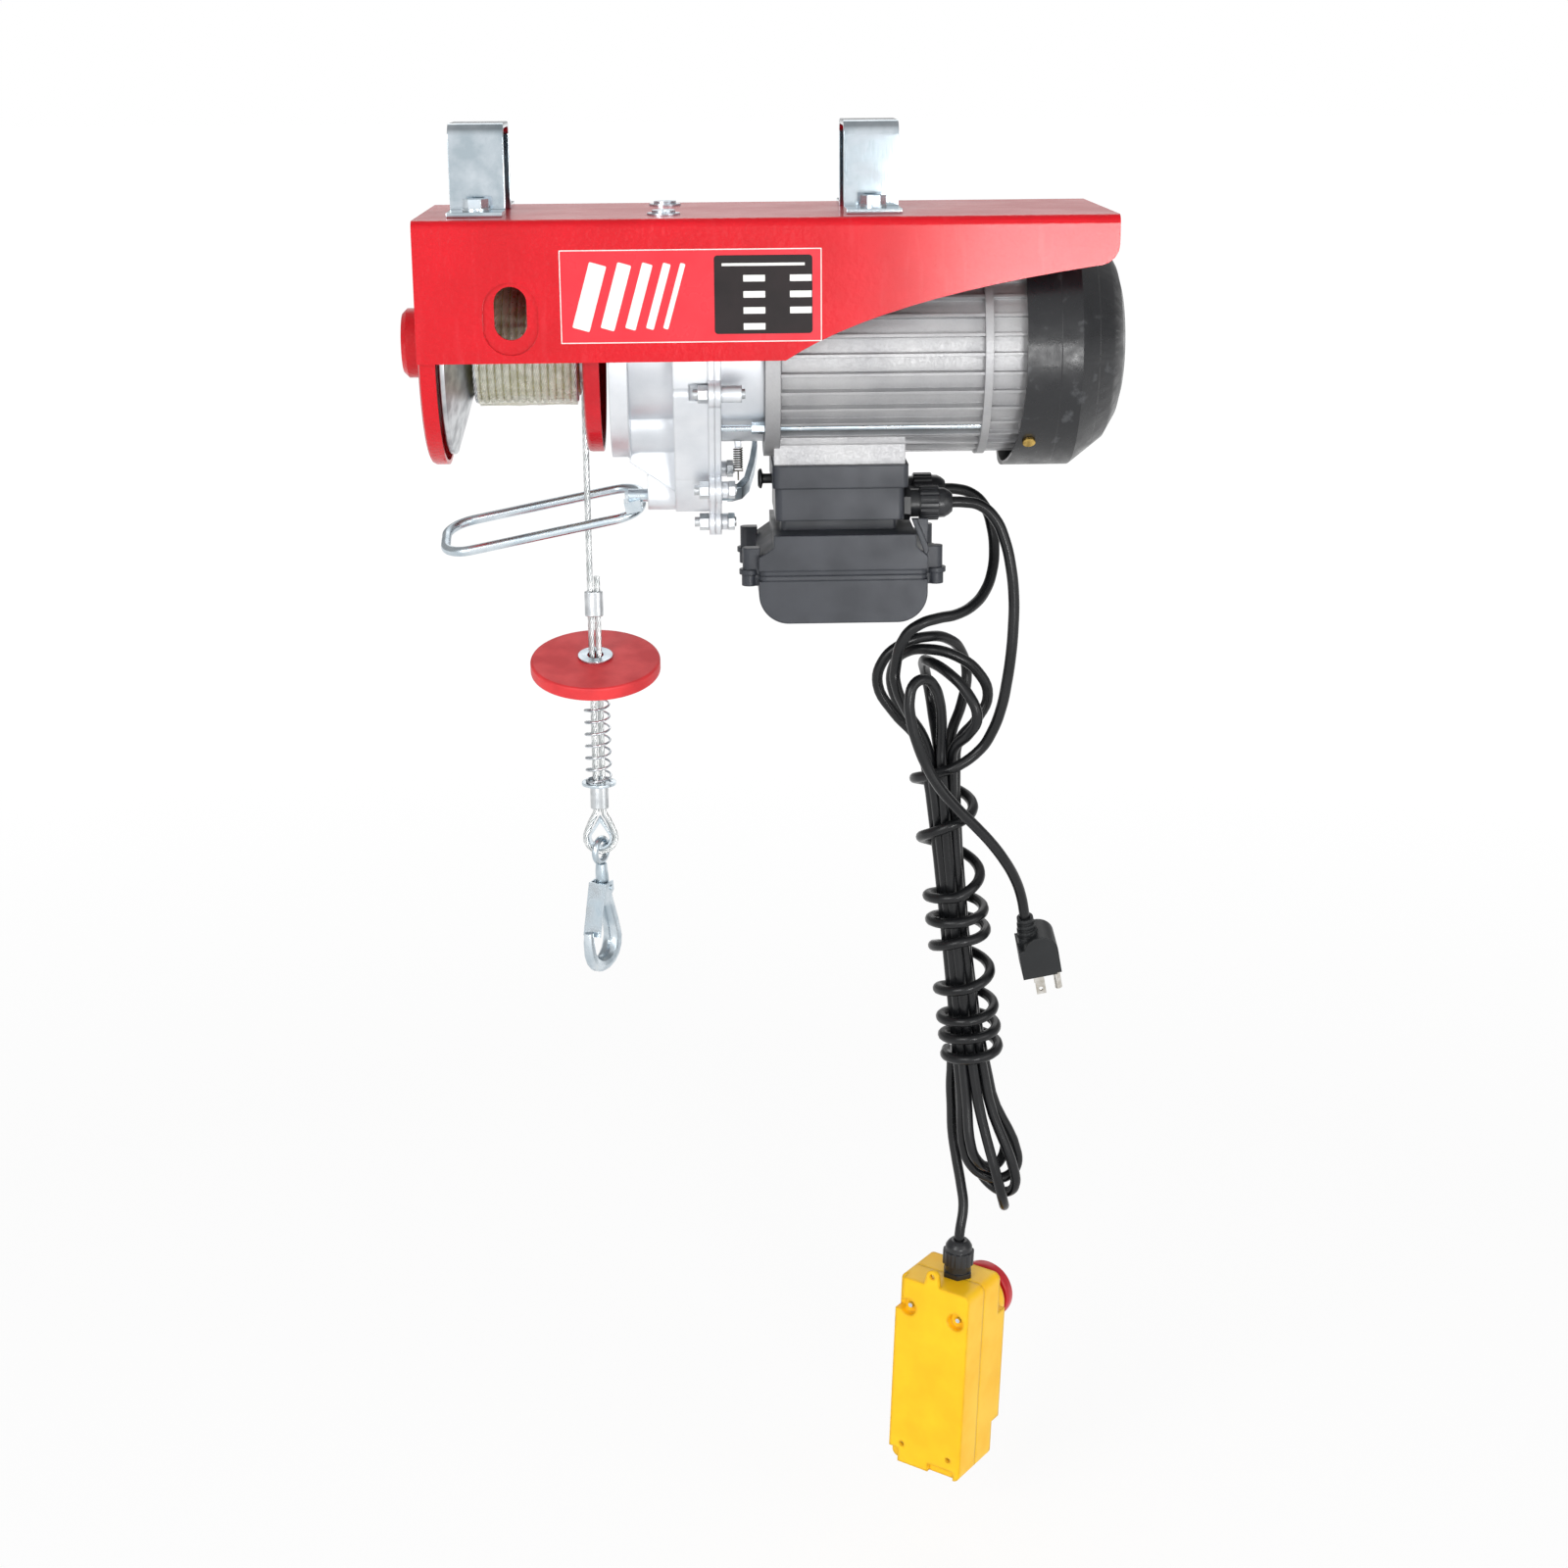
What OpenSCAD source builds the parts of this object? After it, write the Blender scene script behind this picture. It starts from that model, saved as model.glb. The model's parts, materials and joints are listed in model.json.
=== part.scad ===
// Electric wire rope hoist with two beam brackets, limit lever, hook and hand control.
// +X runs from the rope drum to the motor, +Y to the back, +Z up.
// The origin is on the centre line of the support beam, midway between the two brackets.

/* [Frame] */
// Length of the folded steel frame
frame_l = 400; // [390:1:430]
// Width over the two side plates
frame_w = 150; // [149:1:156]
// Height of the side plates
frame_h = 80; // [72:1:84]
// Thickness of the frame sheet
sheet = 2.5; // [2:0.5:3]
// Outside radius of the two long folds
fold_r = 5; // [4:0.5:7]
// Width of the sight slot
slot_w = 18.5; // [12:0.5:22]
// Height of the sight slot
slot_h = 30; // [22:1:34]
// Width of the pressed dish around the slot
dish_w = 36.5; // [32:0.5:40]
// Height of the pressed dish
dish_h = 46; // [42:1:48]
// Depth of the pressed dish
dish_t = 2; // [1:0.5:2.5]

/* [Beam brackets] */
// Distance between the two brackets
bracket_pitch = 228; // [215:1:240]
// Clear width for the beam
seat_w = 44; // [38:1:50]
// Clear height for the beam
seat_h = 48; // [40:1:56]
// Width of the strap
strap_w = 32; // [26:1:36]
// Thickness of the strap
strap_t = 3; // [2.5:0.5:4]
// Length of each foot
foot_l = 28; // [25:1:30]

/* [Bolts] */
// Thread diameter of the deck bolts
deck_bolt_d = 8; // [6:1:8]
// Thread diameter of the gearbox flange bolts
flange_bolt_d = 6; // [5:1:6]

/* [Drum and rope] */
// Drop of the drum axis below the deck
drum_drop = 76; // [76:1:80]
// Radius of the drum flanges
flange_r = 66; // [60:1:66]
// Diameter of the wire rope
rope_d = 4; // [3:0.5:4]
// Number of turns in the outer layer
turns = 14; // [10:1:14]
// Pitch of the turns
turn_pitch = 4.45; // [4.42:0.01:4.5]
// Radius of the outer layer at the middle of the rope
wind_r = 34.5; // [33:0.5:38]
// Outer radius of the drum barrel
barrel_r = 24; // [20:1:26]
// Radius of the drum shaft
shaft_r = 7.5; // [7:0.5:8]
// Outer radius of the drum bearings
bearing_r = 17.5; // [16:0.5:18]
// Radius of the end plate
end_r = 72; // [70:0.5:72]
// Width of the rim of the end plate
end_rim = 10; // [8:1:12]

/* [Hook line] */
// Radius of the stop disc
disc_r = 41; // [36:1:42]
// Thickness of the stop disc
disc_t = 9; // [7:1:10]
// Forward lean of the loose stop disc in degrees
disc_lean = 14; // [0:1:15]
// Free length of the buffer spring
spring_l = 70.5; // [66:0.5:76]
// Radius of the buffer spring at the middle of the wire
spring_r = 7.8; // [7.4:0.1:8.2]
// Wire diameter of the buffer spring
spring_wire = 1.5; // [1.2:0.1:1.6]
// Number of coils of the buffer spring
spring_coils = 10; // [8:1:11]
// Hang of the stop disc below the drum axis
disc_hang = 202; // [195:1:230]

/* [Limit lever] */
// Wire diameter of the limit loop
loop_d = 6; // [5:0.5:6]
// Length of the limit loop
loop_l = 124; // [110:1:128]
// Width of the limit loop
loop_w = 51; // [46:1:56]
// Corner radius of the limit loop
loop_corner = 17; // [12:1:20]
// Radius of the lever shaft
lever_r = 4; // [3.5:0.5:4.5]

/* [Gear train] */
// Gear module
gear_m = 1; // [1:1:1]
// Teeth of each pinion
pinion_teeth = 10; // [10:1:10]
// Teeth of the first wheel
first_teeth = 70; // [70:2:70]
// Teeth of the output wheel
output_teeth = 76; // [76:2:76]

/* [Motor] */
// Radius over the cooling fins
fin_r = 65; // [63:0.5:66]
// Height of the cooling fins
fin_h = 4.5; // [3:0.5:6]
// Number of cooling fins round the motor
fins = 36; // [28:4:44]
// Radius of the rotor shaft
rotor_shaft_r = 6; // [5:0.5:7]
// Radius of the fan cover
fan_cover_r = 73.5; // [70:0.5:73.5]
// Length of the fan cover on its long side
fan_cover_l = 77; // [70:1:82]
// Wall of the fan cover
fan_cover_t = 2.5; // [2:0.5:3]

/* [Switch box] */
// Width of the switch box
box_w = 101; // [92:1:104]
// Depth of the switch box front to back
box_d = 90; // [84:1:96]
// Height of the lid
lid_h = 26; // [22:0.5:30]
// Radius of the lower corners of the lid
lid_r = 18; // [10:1:20]
// Wall of the plastic parts
wall = 2.5; // [2:0.5:3]

/* [Hand control] */
// Width of the hand control
hand_w = 55; // [50:1:60]
// Depth of the two shells without the button panel
hand_d = 43; // [40:1:50]
// Height of the raised button panel over the front shell
panel_t = 9.5; // [6:0.5:12]
// Height of the hand control
hand_h = 139; // [130:1:160]
// Turn of the hanging hand control in degrees
hand_turn = 35; // [20:1:40]
// Sideways lean of the hanging hand control in degrees
hand_lean = 2.5; // [0:0.5:4]

/* [Hidden] */

fit = 0.05;       // running clearance of a shaft in its bore
rub = 0.3;        // clearance between pieces that move past each other
seat_gap = 0.2;   // clearance between plain seated pieces
fine = 96;        // segments of a large round
round_n = 48;     // segments of a small round

// Main levels and stations
deck_z = -seat_h / 2;
axis_z = deck_z - drum_drop;
frame_x0 = -148;
frame_x1 = frame_x0 + frame_l;
side_y = frame_w / 2;
inner_y = side_y - sheet;
under_z = deck_z - sheet;
foot_y = seat_w / 2 + strap_t;
bolt_y = foot_y + foot_l / 2;
deck_bolt_x = -6.5;
deck_bolt_y = 42;

// Drum stations
exit_x = -58.2;
cup_x = exit_x + rope_d / 2 + 1.4;
cup_rim = 9.8;
barrel_x0 = exit_x - turns * turn_pitch - rope_d / 2 - 2;
cone_x = 13;
wind_end_x = exit_x - turns * turn_pitch;

// Hook line stations
line_y = wind_r;
rope_pair = rope_d + 0.4;
line_x = exit_x + rope_pair / 2;
washer_t = 1.5;
disc_z = axis_z - disc_hang;
disc_top = disc_z - disc_t + disc_t / cos(disc_lean);
spring_top = disc_z - disc_t - spring_r * sin(disc_lean) - rub;
spring_bot = spring_top - spring_l;
low_washer_t = 2;
ferrule_l = 16;
low_ferrule_z = spring_bot - low_washer_t;
eye_r = 9.5;
eye_z = low_ferrule_z - ferrule_l - eye_r - 10;
up_ferrule_z = disc_z + 42.5;
tail_end = 9.5;

// Limit lever stations
lever_y = 10;
lever_z = -195;
loop_x = -24;
loop_z = -206.5;
loop_pitch = 11.4;
loop_roll = 11.3;

// Gearbox stations
motor_z = axis_z - 3;
counter_z = motor_z - gear_m * (pinion_teeth + first_teeth) / 2;
guard_x = -40;
guard_t = 11;
guard_r = 69;
body_x0 = -3;
split_x = 21;
lobe_r = 39;
lobe_y = 5;
lobe_z = -165;
house_r = inner_y - 2.5;
flange_t = 3.7;
ear_r = 8;
function round_ear(a) = [(house_r + 2) * cos(a), axis_z + (house_r + 2) * sin(a)];
low_ear_top = -150;
function low_ear(a) = [lobe_y + (lobe_r + 7) * cos(a), lobe_z + (lobe_r + 7) * sin(a)];
ears = [round_ear(-161), round_ear(-19), low_ear(-155), low_ear(-26), low_ear(-90),
        round_ear(135), round_ear(45)];
bell_r = 57.5;
bell_x1 = 50.5;
bell_wall = 4;
tie_r = 62;
tie_d = 4;

// Motor stations
ring_x1 = 59.3;
fin_x1 = 177.5;
band_x1 = 212;
lug_x = 205;
bore_r = fin_r - fin_h - 2.3;
cover_x1 = 263;
cover_x0 = cover_x1 - fan_cover_l;

// Switch box stations
box_x0 = 46;
cap_x0 = 55;
cap_x1 = 136;
cap_y = 37;
cap_top = -171;
cap_mid = -184.5;
cap_low = -204;
body_top = -211.2;
rim_z0 = -238.5;
rim_z1 = -232.5;
lid_low = rim_z0 - lid_h;
neck_y = 26;
screw_boss_y = 35;
screw_boss_out = 5.5;
gland_y = 23.5;
gland_z = -196;
gland_x0 = cap_x1 - 2.5;
gland_l = 29.5;

// Cord stations
cord_r = 3.4;
hank_x = 150;
hank_lean = 0.113;
hank_top = -276;
hank_step = 8;
hank_loops = 4;
hank_low = -642;
hank_low_step = 9;
foot_lean = 0.13;
lobe_w = 34;
lobe_h = 30;
waist_r = 9.9;
waist_top = -360;
waist_low = -590;
foot_w = 17;
foot_h = 18;
first_azimuth = 225;
wrap_azimuth = -90;
wrap_r = waist_r + 2 * cord_r + 0.7;
wrap_levels = [-366, -402, -449, -466, -479, -511, -533, -545, -559, -571];
hand_x = 169;
hand_top = -720;
hand_gland = [4.6, 3.2];
hand_gland_l = 26;

// ---------- helpers ----------

function unit(v) = v / norm(v);
function at_end(p, i) = p[min(max(i, 0), len(p) - 1)];
function heading(p, i) = unit(at_end(p, i + 1) - at_end(p, i - 1));
function carry(n, t) = unit(n - (n * t) * t);
function start_side(t) = carry(abs(t[2]) < 0.9 ? [0, 0, 1] : [0, 1, 0], t);

// Sideways direction at every point, carried along the path so that the tube doesn't twist
function sides_along(p, i, n) =
    i >= len(p) ? [] : let (m = carry(n, heading(p, i))) concat([m], sides_along(p, i + 1, m));

// One unbroken tube of any radius along points
module tube(p, radii, sides) {
    n = len(p);
    across = sides_along(p, 0, start_side(heading(p, 0)));
    rings = [for (i = [0:n - 1])
        let (t = heading(p, i), u = across[i], v = cross(t, u),
             r = is_list(radii) ? radii[i] : radii)
        for (k = [0:sides - 1])
            p[i] + r * (cos(360 * k / sides) * u + sin(360 * k / sides) * v)];
    walls = [for (i = [0:n - 2]) for (k = [0:sides - 1])
        let (a = i * sides + k, b = i * sides + (k + 1) % sides)
        for (f = [[a, b, b + sides], [a, b + sides, a + sides]]) [f[2], f[1], f[0]]];
    caps = [for (k = [1:sides - 2]) each [[0, k, k + 1],
        [(n - 1) * sides, (n - 1) * sides + k + 1, (n - 1) * sides + k]]];
    polyhedron(points = rings, faces = concat(walls, caps), convexity = 10);
}

// Least distance between parts of a path that lie further apart along it than skip points
function least_gap(p, d, skip) =
    min([for (i = [0:len(p) - 1 - skip]) for (j = [i + skip:len(p) - 1]) norm(p[i] - p[j])]) - d;

// A cylinder from x0 to x1 along X
module rod_x(x0, x1, r, y = 0, z = 0, n = round_n) {
    translate([x0, y, z]) rotate([0, 90, 0]) cylinder(h = x1 - x0, r = r, $fn = n);
}

// A turned profile about an X axis at height z; its points are [x, radius]
module turned_x(z, profile, n = fine) {
    translate([0, 0, z]) rotate([0, 90, 0]) rotate_extrude($fn = n)
        polygon([for (q = profile) [q[1], q[0]]]);
}

// A flat outline in the Y-Z plane, drawn as [y, z], pushed from x0 to x1
module slab_x(x0, x1) {
    translate([x0, 0, 0]) rotate([90, 0, 90]) linear_extrude(x1 - x0) children();
}

// A flat outline in the X-Z plane, drawn as [x, z], pushed from y0 to y1
module slab_y(y0, y1) {
    translate([0, y1, 0]) rotate([90, 0, 0]) linear_extrude(y1 - y0) children();
}

module obround(w, h) {
    for (s = [-1, 1]) translate([0, s * (h - w) / 2]) circle(d = w, $fn = round_n);
    square([w, h - w], center = true);
}

module block(x0, x1, y0, y1, z0, z1) {
    translate([x0, y0, z0]) cube([x1 - x0, y1 - y0, z1 - z0]);
}

// Hexagon-headed bolt, head up, with its washer; the underside of the washer is at z = 0
module hex_bolt(d, length, washer_r) {
    difference() {
        cylinder(h = 1.5, r = washer_r, $fn = round_n);
        translate([0, 0, -1]) cylinder(h = 3, r = d / 2 + seat_gap, $fn = round_n);
    }
    translate([0, 0, 1.5]) cylinder(h = d * 0.66, r = d * 0.93, $fn = 6);
    translate([0, 0, -length]) cylinder(h = length + 1.6, r = d / 2, $fn = round_n);
    translate([0, 0, -length + 1]) cylinder(h = d * 0.7, r = d * 0.93, $fn = 6);
}

// Low flat-headed bolt with a wide washer and a nut under the sheet
module flat_bolt(d, length, washer_r) {
    difference() {
        cylinder(h = 1.2, r = washer_r, $fn = round_n);
        translate([0, 0, -1]) cylinder(h = 3, r = d / 2 + seat_gap, $fn = round_n);
    }
    translate([0, 0, 1.2]) cylinder(h = 1.6, r = d * 0.85, $fn = round_n);
    translate([0, 0, -length]) cylinder(h = length + 1.4, r = d / 2, $fn = round_n);
    translate([0, 0, -length + 1]) cylinder(h = d * 0.7, r = d * 0.93, $fn = 6);
}

// ---------- frame ----------

// Curve of the lower edge of a side plate towards the motor
edge_a = [62, deck_z - frame_h];
edge_b = [115, deck_z - frame_h + 34];
edge_c = [frame_x1 - 12, deck_z - 28.5];
function edge_at(t) = (1 - t) * (1 - t) * edge_a + 2 * t * (1 - t) * edge_b + t * t * edge_c;

module side_outline() {
    corner_r = 12;
    polygon(concat(
        [[frame_x0, deck_z], [frame_x0, edge_a[1]]],
        [for (i = [0:12]) edge_at(i / 12)],
        [for (a = [-80:20:0]) [frame_x1 - corner_r + corner_r * cos(a),
                               edge_c[1] + corner_r + corner_r * sin(a)]],
        [[frame_x1, deck_z]]));
}

module channel_section(w, top, r) {
    translate([-w / 2, -200]) square([w, 200 + top - r]);
    translate([-w / 2 + r, -200]) square([w - 2 * r, 200 + top]);
    for (s = [-1, 1]) translate([s * (w / 2 - r), top - r]) circle(r = r, $fn = round_n);
}

slot_x = -94;
slot_z = deck_z - 52;
dish_z = deck_z - 55;

module frame() {
    color("crimson") difference() {
        union() {
            intersection() {
                slab_y(-side_y, side_y) side_outline();
                slab_x(frame_x0, frame_x1) difference() {
                    channel_section(frame_w, deck_z, fold_r);
                    channel_section(frame_w - 2 * sheet, deck_z - sheet, fold_r - sheet);
                }
            }
            translate([slot_x, -inner_y + dish_t, dish_z]) rotate([90, 0, 0])
                linear_extrude(dish_t) obround(dish_w, dish_h);
        }
        translate([slot_x, -side_y + dish_t, dish_z]) rotate([90, 0, 0])
            linear_extrude(dish_t + 1) obround(dish_w - 2 * sheet, dish_h - 2 * sheet);
        translate([slot_x, -inner_y + dish_t + 1, slot_z]) rotate([90, 0, 0])
            linear_extrude(dish_t + sheet + 4) obround(slot_w, slot_h);
        for (x = [-1, 1]) for (y = [-1, 1])
            translate([x * bracket_pitch / 2, y * bolt_y, under_z - 1])
                cylinder(h = sheet + 2, d = deck_bolt_d + 2 * seat_gap, $fn = round_n);
        for (y = [-1, 1]) translate([deck_bolt_x, y * deck_bolt_y, under_z - 1])
            cylinder(h = sheet + 2, d = deck_bolt_d + 2 * seat_gap, $fn = round_n);
    }
}

module end_plate() {
    x0 = frame_x0;
    boss_r = bearing_r + 3;
    boss_l = 15;
    color("firebrick") {
        turned_x(axis_z, [[x0 - boss_l, 0], [x0 - boss_l, boss_r - 3], [x0 - boss_l + 3, boss_r],
            [x0, boss_r], [x0, end_r - 3], [x0 + 1, end_r - 1], [x0 + 3, end_r],
            [x0 + end_rim, end_r], [x0 + end_rim, end_r - sheet], [x0 + sheet, end_r - sheet],
            [x0 + sheet, bearing_r + fit], [x0 + sheet - 14, bearing_r + fit],
            [x0 + sheet - 14, 0]]);
        block(x0, x0 + end_rim, -20, 20, axis_z + end_r - 3, under_z);
    }
}

module beam_bracket() {
    top = seat_h / 2 + strap_t;
    color("lightsteelblue") difference() {
        slab_x(-strap_w / 2, strap_w / 2) difference() {
            union() {
                translate([-foot_y, deck_z]) square([2 * foot_y, top - deck_z - 8]);
                translate([-foot_y + 8, deck_z]) square([2 * foot_y - 16, top - deck_z]);
                for (s = [-1, 1]) translate([s * (foot_y - 8), top - 8]) circle(r = 8, $fn = round_n);
                translate([-foot_y - foot_l, deck_z]) square([2 * (foot_y + foot_l), strap_t]);
            }
            translate([-seat_w / 2, deck_z - 1]) square([seat_w, seat_h + 1 - 5]);
            translate([-seat_w / 2 + 5, deck_z - 1]) square([seat_w - 10, seat_h + 1]);
            for (s = [-1, 1]) translate([s * (seat_w / 2 - 5), seat_h / 2 - 5])
                circle(r = 5, $fn = round_n);
        }
        for (y = [-1, 1]) translate([0, y * bolt_y, deck_z - 1])
            cylinder(h = strap_t + 2, d = deck_bolt_d + 2 * seat_gap, $fn = round_n);
    }
}

module bracket_left() {
    translate([-bracket_pitch / 2, 0, 0]) beam_bracket();
}

module bracket_right() {
    translate([bracket_pitch / 2, 0, 0]) beam_bracket();
}

module deck_bolts() {
    color("silver") {
        for (x = [-1, 1]) for (y = [-1, 1])
            translate([x * bracket_pitch / 2, y * bolt_y, deck_z + strap_t])
                hex_bolt(deck_bolt_d, strap_t + sheet + 8, deck_bolt_d);
        for (y = [-1, 1]) translate([deck_bolt_x, y * deck_bolt_y, deck_z])
            flat_bolt(deck_bolt_d, sheet + lug_grip, deck_bolt_d + 1.5);
    }
}

label_w = 147;
label_h = 51;
label_t = 0.4;

module label_plate() {
    color("white") translate([8.5, -side_y, deck_z - 43]) rotate([90, 0, 0])
        linear_extrude(label_t) square([label_w, label_h], center = true);
}

// ---------- drum and rope ----------

module drum_barrel() {
    x0 = barrel_x0;
    t = 3;
    color("silver") turned_x(axis_z, [[x0, shaft_r + seat_gap], [x0, barrel_r - 4],
        [x0 - 1, barrel_r], [x0 - cone_x, flange_r - 3], [x0 - cone_x + 1, flange_r],
        [x0 - cone_x + t + 1, flange_r], [x0 + t, barrel_r + 4], [x0 + t + 2, barrel_r],
        [cup_x, barrel_r], [cup_x, barrel_r - 3.5], [x0 + 8, barrel_r - 3.5],
        [x0 + 8, shaft_r + seat_gap]]);
}

module drum_cup() {
    t = sheet;
    color("crimson") turned_x(axis_z, [[cup_x, shaft_r + seat_gap], [cup_x, flange_r - 3],
        [cup_x + 1, flange_r - 1], [cup_x + 3, flange_r - 0.5], [cup_x + cup_rim, flange_r - 0.5],
        [cup_x + cup_rim, flange_r - 0.5 - t], [cup_x + t, flange_r - 0.5 - t],
        [cup_x + t, shaft_r + seat_gap]]);
}

wind_rings = 20;
wind_path = concat(
    [[exit_x, wind_r, axis_z - rope_d], [exit_x, wind_r, axis_z - rope_d / 2]],
    [for (i = [0:turns * wind_rings]) let (a = 360 * i / wind_rings)
        [exit_x - turn_pitch * i / wind_rings, wind_r * cos(a), axis_z + wind_r * sin(a)]],
    [[wind_end_x, wind_r, axis_z + rope_d]]);
echo(wind_gap = least_gap(wind_path, rope_d, 8));

module rope_winding() {
    color("gainsboro") {
        tube(wind_path, rope_d / 2, 6);
        turned_x(axis_z, [[barrel_x0 + 5.5, barrel_r + 0.1], [barrel_x0 + 5.5, barrel_r + 4],
            [barrel_x0 + 2.5, wind_r - rope_d / 2 - seat_gap], [cup_x - 0.2, wind_r - rope_d / 2 - seat_gap],
            [cup_x - 0.2, barrel_r + 0.1]]);
    }
}

shaft_x0 = frame_x0 - 11.2;
shaft_x1 = 10.4;

module drum_shaft() {
    color("dimgray") rod_x(shaft_x0, shaft_x1, shaft_r, 0, axis_z);
}

module bearing(x0, width, inner, outer, z) {
    turned_x(z, [[x0, inner + fit], [x0, outer], [x0 + width, outer], [x0 + width, inner + fit]], round_n);
}

drum_bearing_w = 11;
motor_bearing_r = 16;
motor_bearing_w = 9;

module ball_bearings() {
    color("slategray") {
        bearing(frame_x0 + sheet - 13.5, drum_bearing_w, shaft_r, bearing_r, axis_z);
        bearing(guard_x + 8, drum_bearing_w, shaft_r, bearing_r, axis_z);
        bearing(split_x + flange_t + 2, motor_bearing_w, rotor_shaft_r, motor_bearing_r, motor_z);
        bearing(band_x1 - 13, motor_bearing_w, rotor_shaft_r, motor_bearing_r, motor_z);
    }
}

// ---------- rope and hook ----------

module rope_fall() {
    color("gainsboro") translate([exit_x, line_y, up_ferrule_z])
        cylinder(h = axis_z - rope_d - up_ferrule_z, d = rope_d, $fn = round_n);
}

module rope_tail() {
    color("gainsboro") {
        for (s = [0, 1]) translate([exit_x + s * rope_pair, line_y, low_ferrule_z])
            cylinder(h = up_ferrule_z - ferrule_l - low_ferrule_z, d = rope_d, $fn = round_n);
        translate([exit_x + rope_pair, line_y, up_ferrule_z]) cylinder(h = tail_end, d = rope_d, $fn = round_n);
    }
}

module ferrule(z) {
    translate([line_x, line_y, z - ferrule_l]) linear_extrude(ferrule_l) {
        for (s = [-1, 1]) translate([s * rope_pair / 2, 0]) circle(r = rope_d / 2 + 1.6, $fn = round_n);
        square([rope_pair, rope_d + 2.6], center = true);
    }
}

module crimp_ferrules() {
    color("silver") {
        ferrule(up_ferrule_z);
        ferrule(low_ferrule_z);
    }
}

// Hole that the doubled rope runs through
pair_hole_r = rope_pair / 2 + rope_d / 2 + 0.9;

module leaning(z) {
    translate([line_x, line_y, z]) rotate([disc_lean, 0, 0]) children();
}

module stop_washer() {
    color("silver") leaning(disc_top) difference() {
        translate([0, 0, rub / 3]) cylinder(h = washer_t, r = 11, $fn = round_n);
        translate([0, 0, -1]) cylinder(h = washer_t + 3, r = pair_hole_r, $fn = round_n);
    }
}

module stop_disc() {
    color("crimson") leaning(disc_z - disc_t) difference() {
        rotate_extrude($fn = fine) polygon([[0, 0], [disc_r - 1, 0], [disc_r, 1],
            [disc_r, disc_t - 1], [disc_r - 1, disc_t], [0, disc_t]]);
        translate([0, 0, -1]) cylinder(h = disc_t + 2, r = pair_hole_r + 0.5, $fn = round_n);
    }
}

coil_rings = 8;
coil_span = spring_l - spring_wire;
spring_path = concat(
    [[line_x + spring_r, line_y - spring_wire, spring_bot + spring_wire / 2]],
    [for (i = [0:spring_coils * coil_rings]) let (a = 360 * i / coil_rings)
        [line_x + spring_r * cos(a), line_y + spring_r * sin(a),
         spring_bot + spring_wire / 2 + coil_span * i / (spring_coils * coil_rings)]],
    [[line_x + spring_r, line_y + spring_wire, spring_bot + spring_wire / 2 + coil_span]]);
echo(stop_spring_gap = least_gap(spring_path, spring_wire, 4));

module stop_spring() {
    color("silver") tube(spring_path, spring_wire / 2, 6);
}

module lower_washer() {
    color("silver") translate([line_x, line_y, low_ferrule_z + 0.1]) difference() {
        cylinder(h = low_washer_t - 0.2, r = 11, $fn = round_n);
        translate([0, 0, -1]) cylinder(h = low_washer_t + 2, r = pair_hole_r, $fn = round_n);
    }
}

eye_top = low_ferrule_z - ferrule_l;

// Teardrop outline about the centre of the rope eye, r from the round part
module teardrop(r, top) {
    circle(r = r, $fn = round_n);
    polygon([[-r * cos(22), r * sin(22)], [r * cos(22), r * sin(22)], [0.2, top], [-0.2, top]]);
}

module rope_eye() {
    h = eye_top - eye_z - 0.1;
    p = rope_pair / 2;
    color("gainsboro") translate([line_x, line_y, eye_z]) tube(concat(
        [[-p, 0, h], [-p, 0, h - 2.5], [-p - 1.6, 0, h - 5.5]],
        [for (a = [160:20:380]) eye_r * [cos(a), 0, sin(a)]],
        [[p + 1.6, 0, h - 5.5], [p, 0, h - 2.5], [p, 0, h]]), rope_d / 2, 12);
}

module thimble() {
    inner = eye_r - rope_d / 2 - 1.6;
    color("lightsteelblue") translate([line_x, line_y + 3.2, eye_z]) rotate([90, 0, 0])
        linear_extrude(6.4) difference() {
            teardrop(inner + 1.4, eye_r + 4.5);
            teardrop(inner, eye_r + 1);
        }
}

// Middle line of the hook in its own plane: neck, bowl and tip
hook_r = 15;
hook_low = 61.5;
hook_line = concat(
    [[0, 0, -9], [0, 0, -14], [0.8, 0, -22], [3, 0, -31], [6.3, 0, -41], [9, 0, -49]],
    [for (a = [20:-20:-160]) [hook_r * cos(a) - 3, 0, hook_r * sin(a) - hook_low]],
    [[-18.6, 0, -58], [-18.4, 0, -51]]);
hook_radii = [3.6, 4, 4.4, 4.8, 5.1, 5.4, 5.7, 6, 6.2, 6.2, 6, 5.6, 5.2, 4.8, 4.3, 3.9, 3.5, 3];
hook_turn = 62;
hook_ring = 7.6;
hook_wire = 2.1;
hook_eye_z = eye_z - eye_r + rope_d / 2 + 1.6 + hook_wire + 2.6 - hook_ring;
latch_x = 1.5;
latch_z = -25;
latch_pin = 1.8;

module in_hook_plane() {
    translate([line_x, line_y, hook_eye_z]) rotate([0, 0, hook_turn]) children();
}

module hook() {
    color("silver") in_hook_plane() {
        rotate([90, 0, 0]) rotate_extrude($fn = round_n) translate([hook_ring, 0])
            circle(r = hook_wire, $fn = 32);
        tube(hook_line, hook_radii, 12);
        rotate([90, 0, 0]) translate([latch_x, latch_z, -6.8]) cylinder(h = 13.6, r = latch_pin, $fn = round_n);
    }
}

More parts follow.
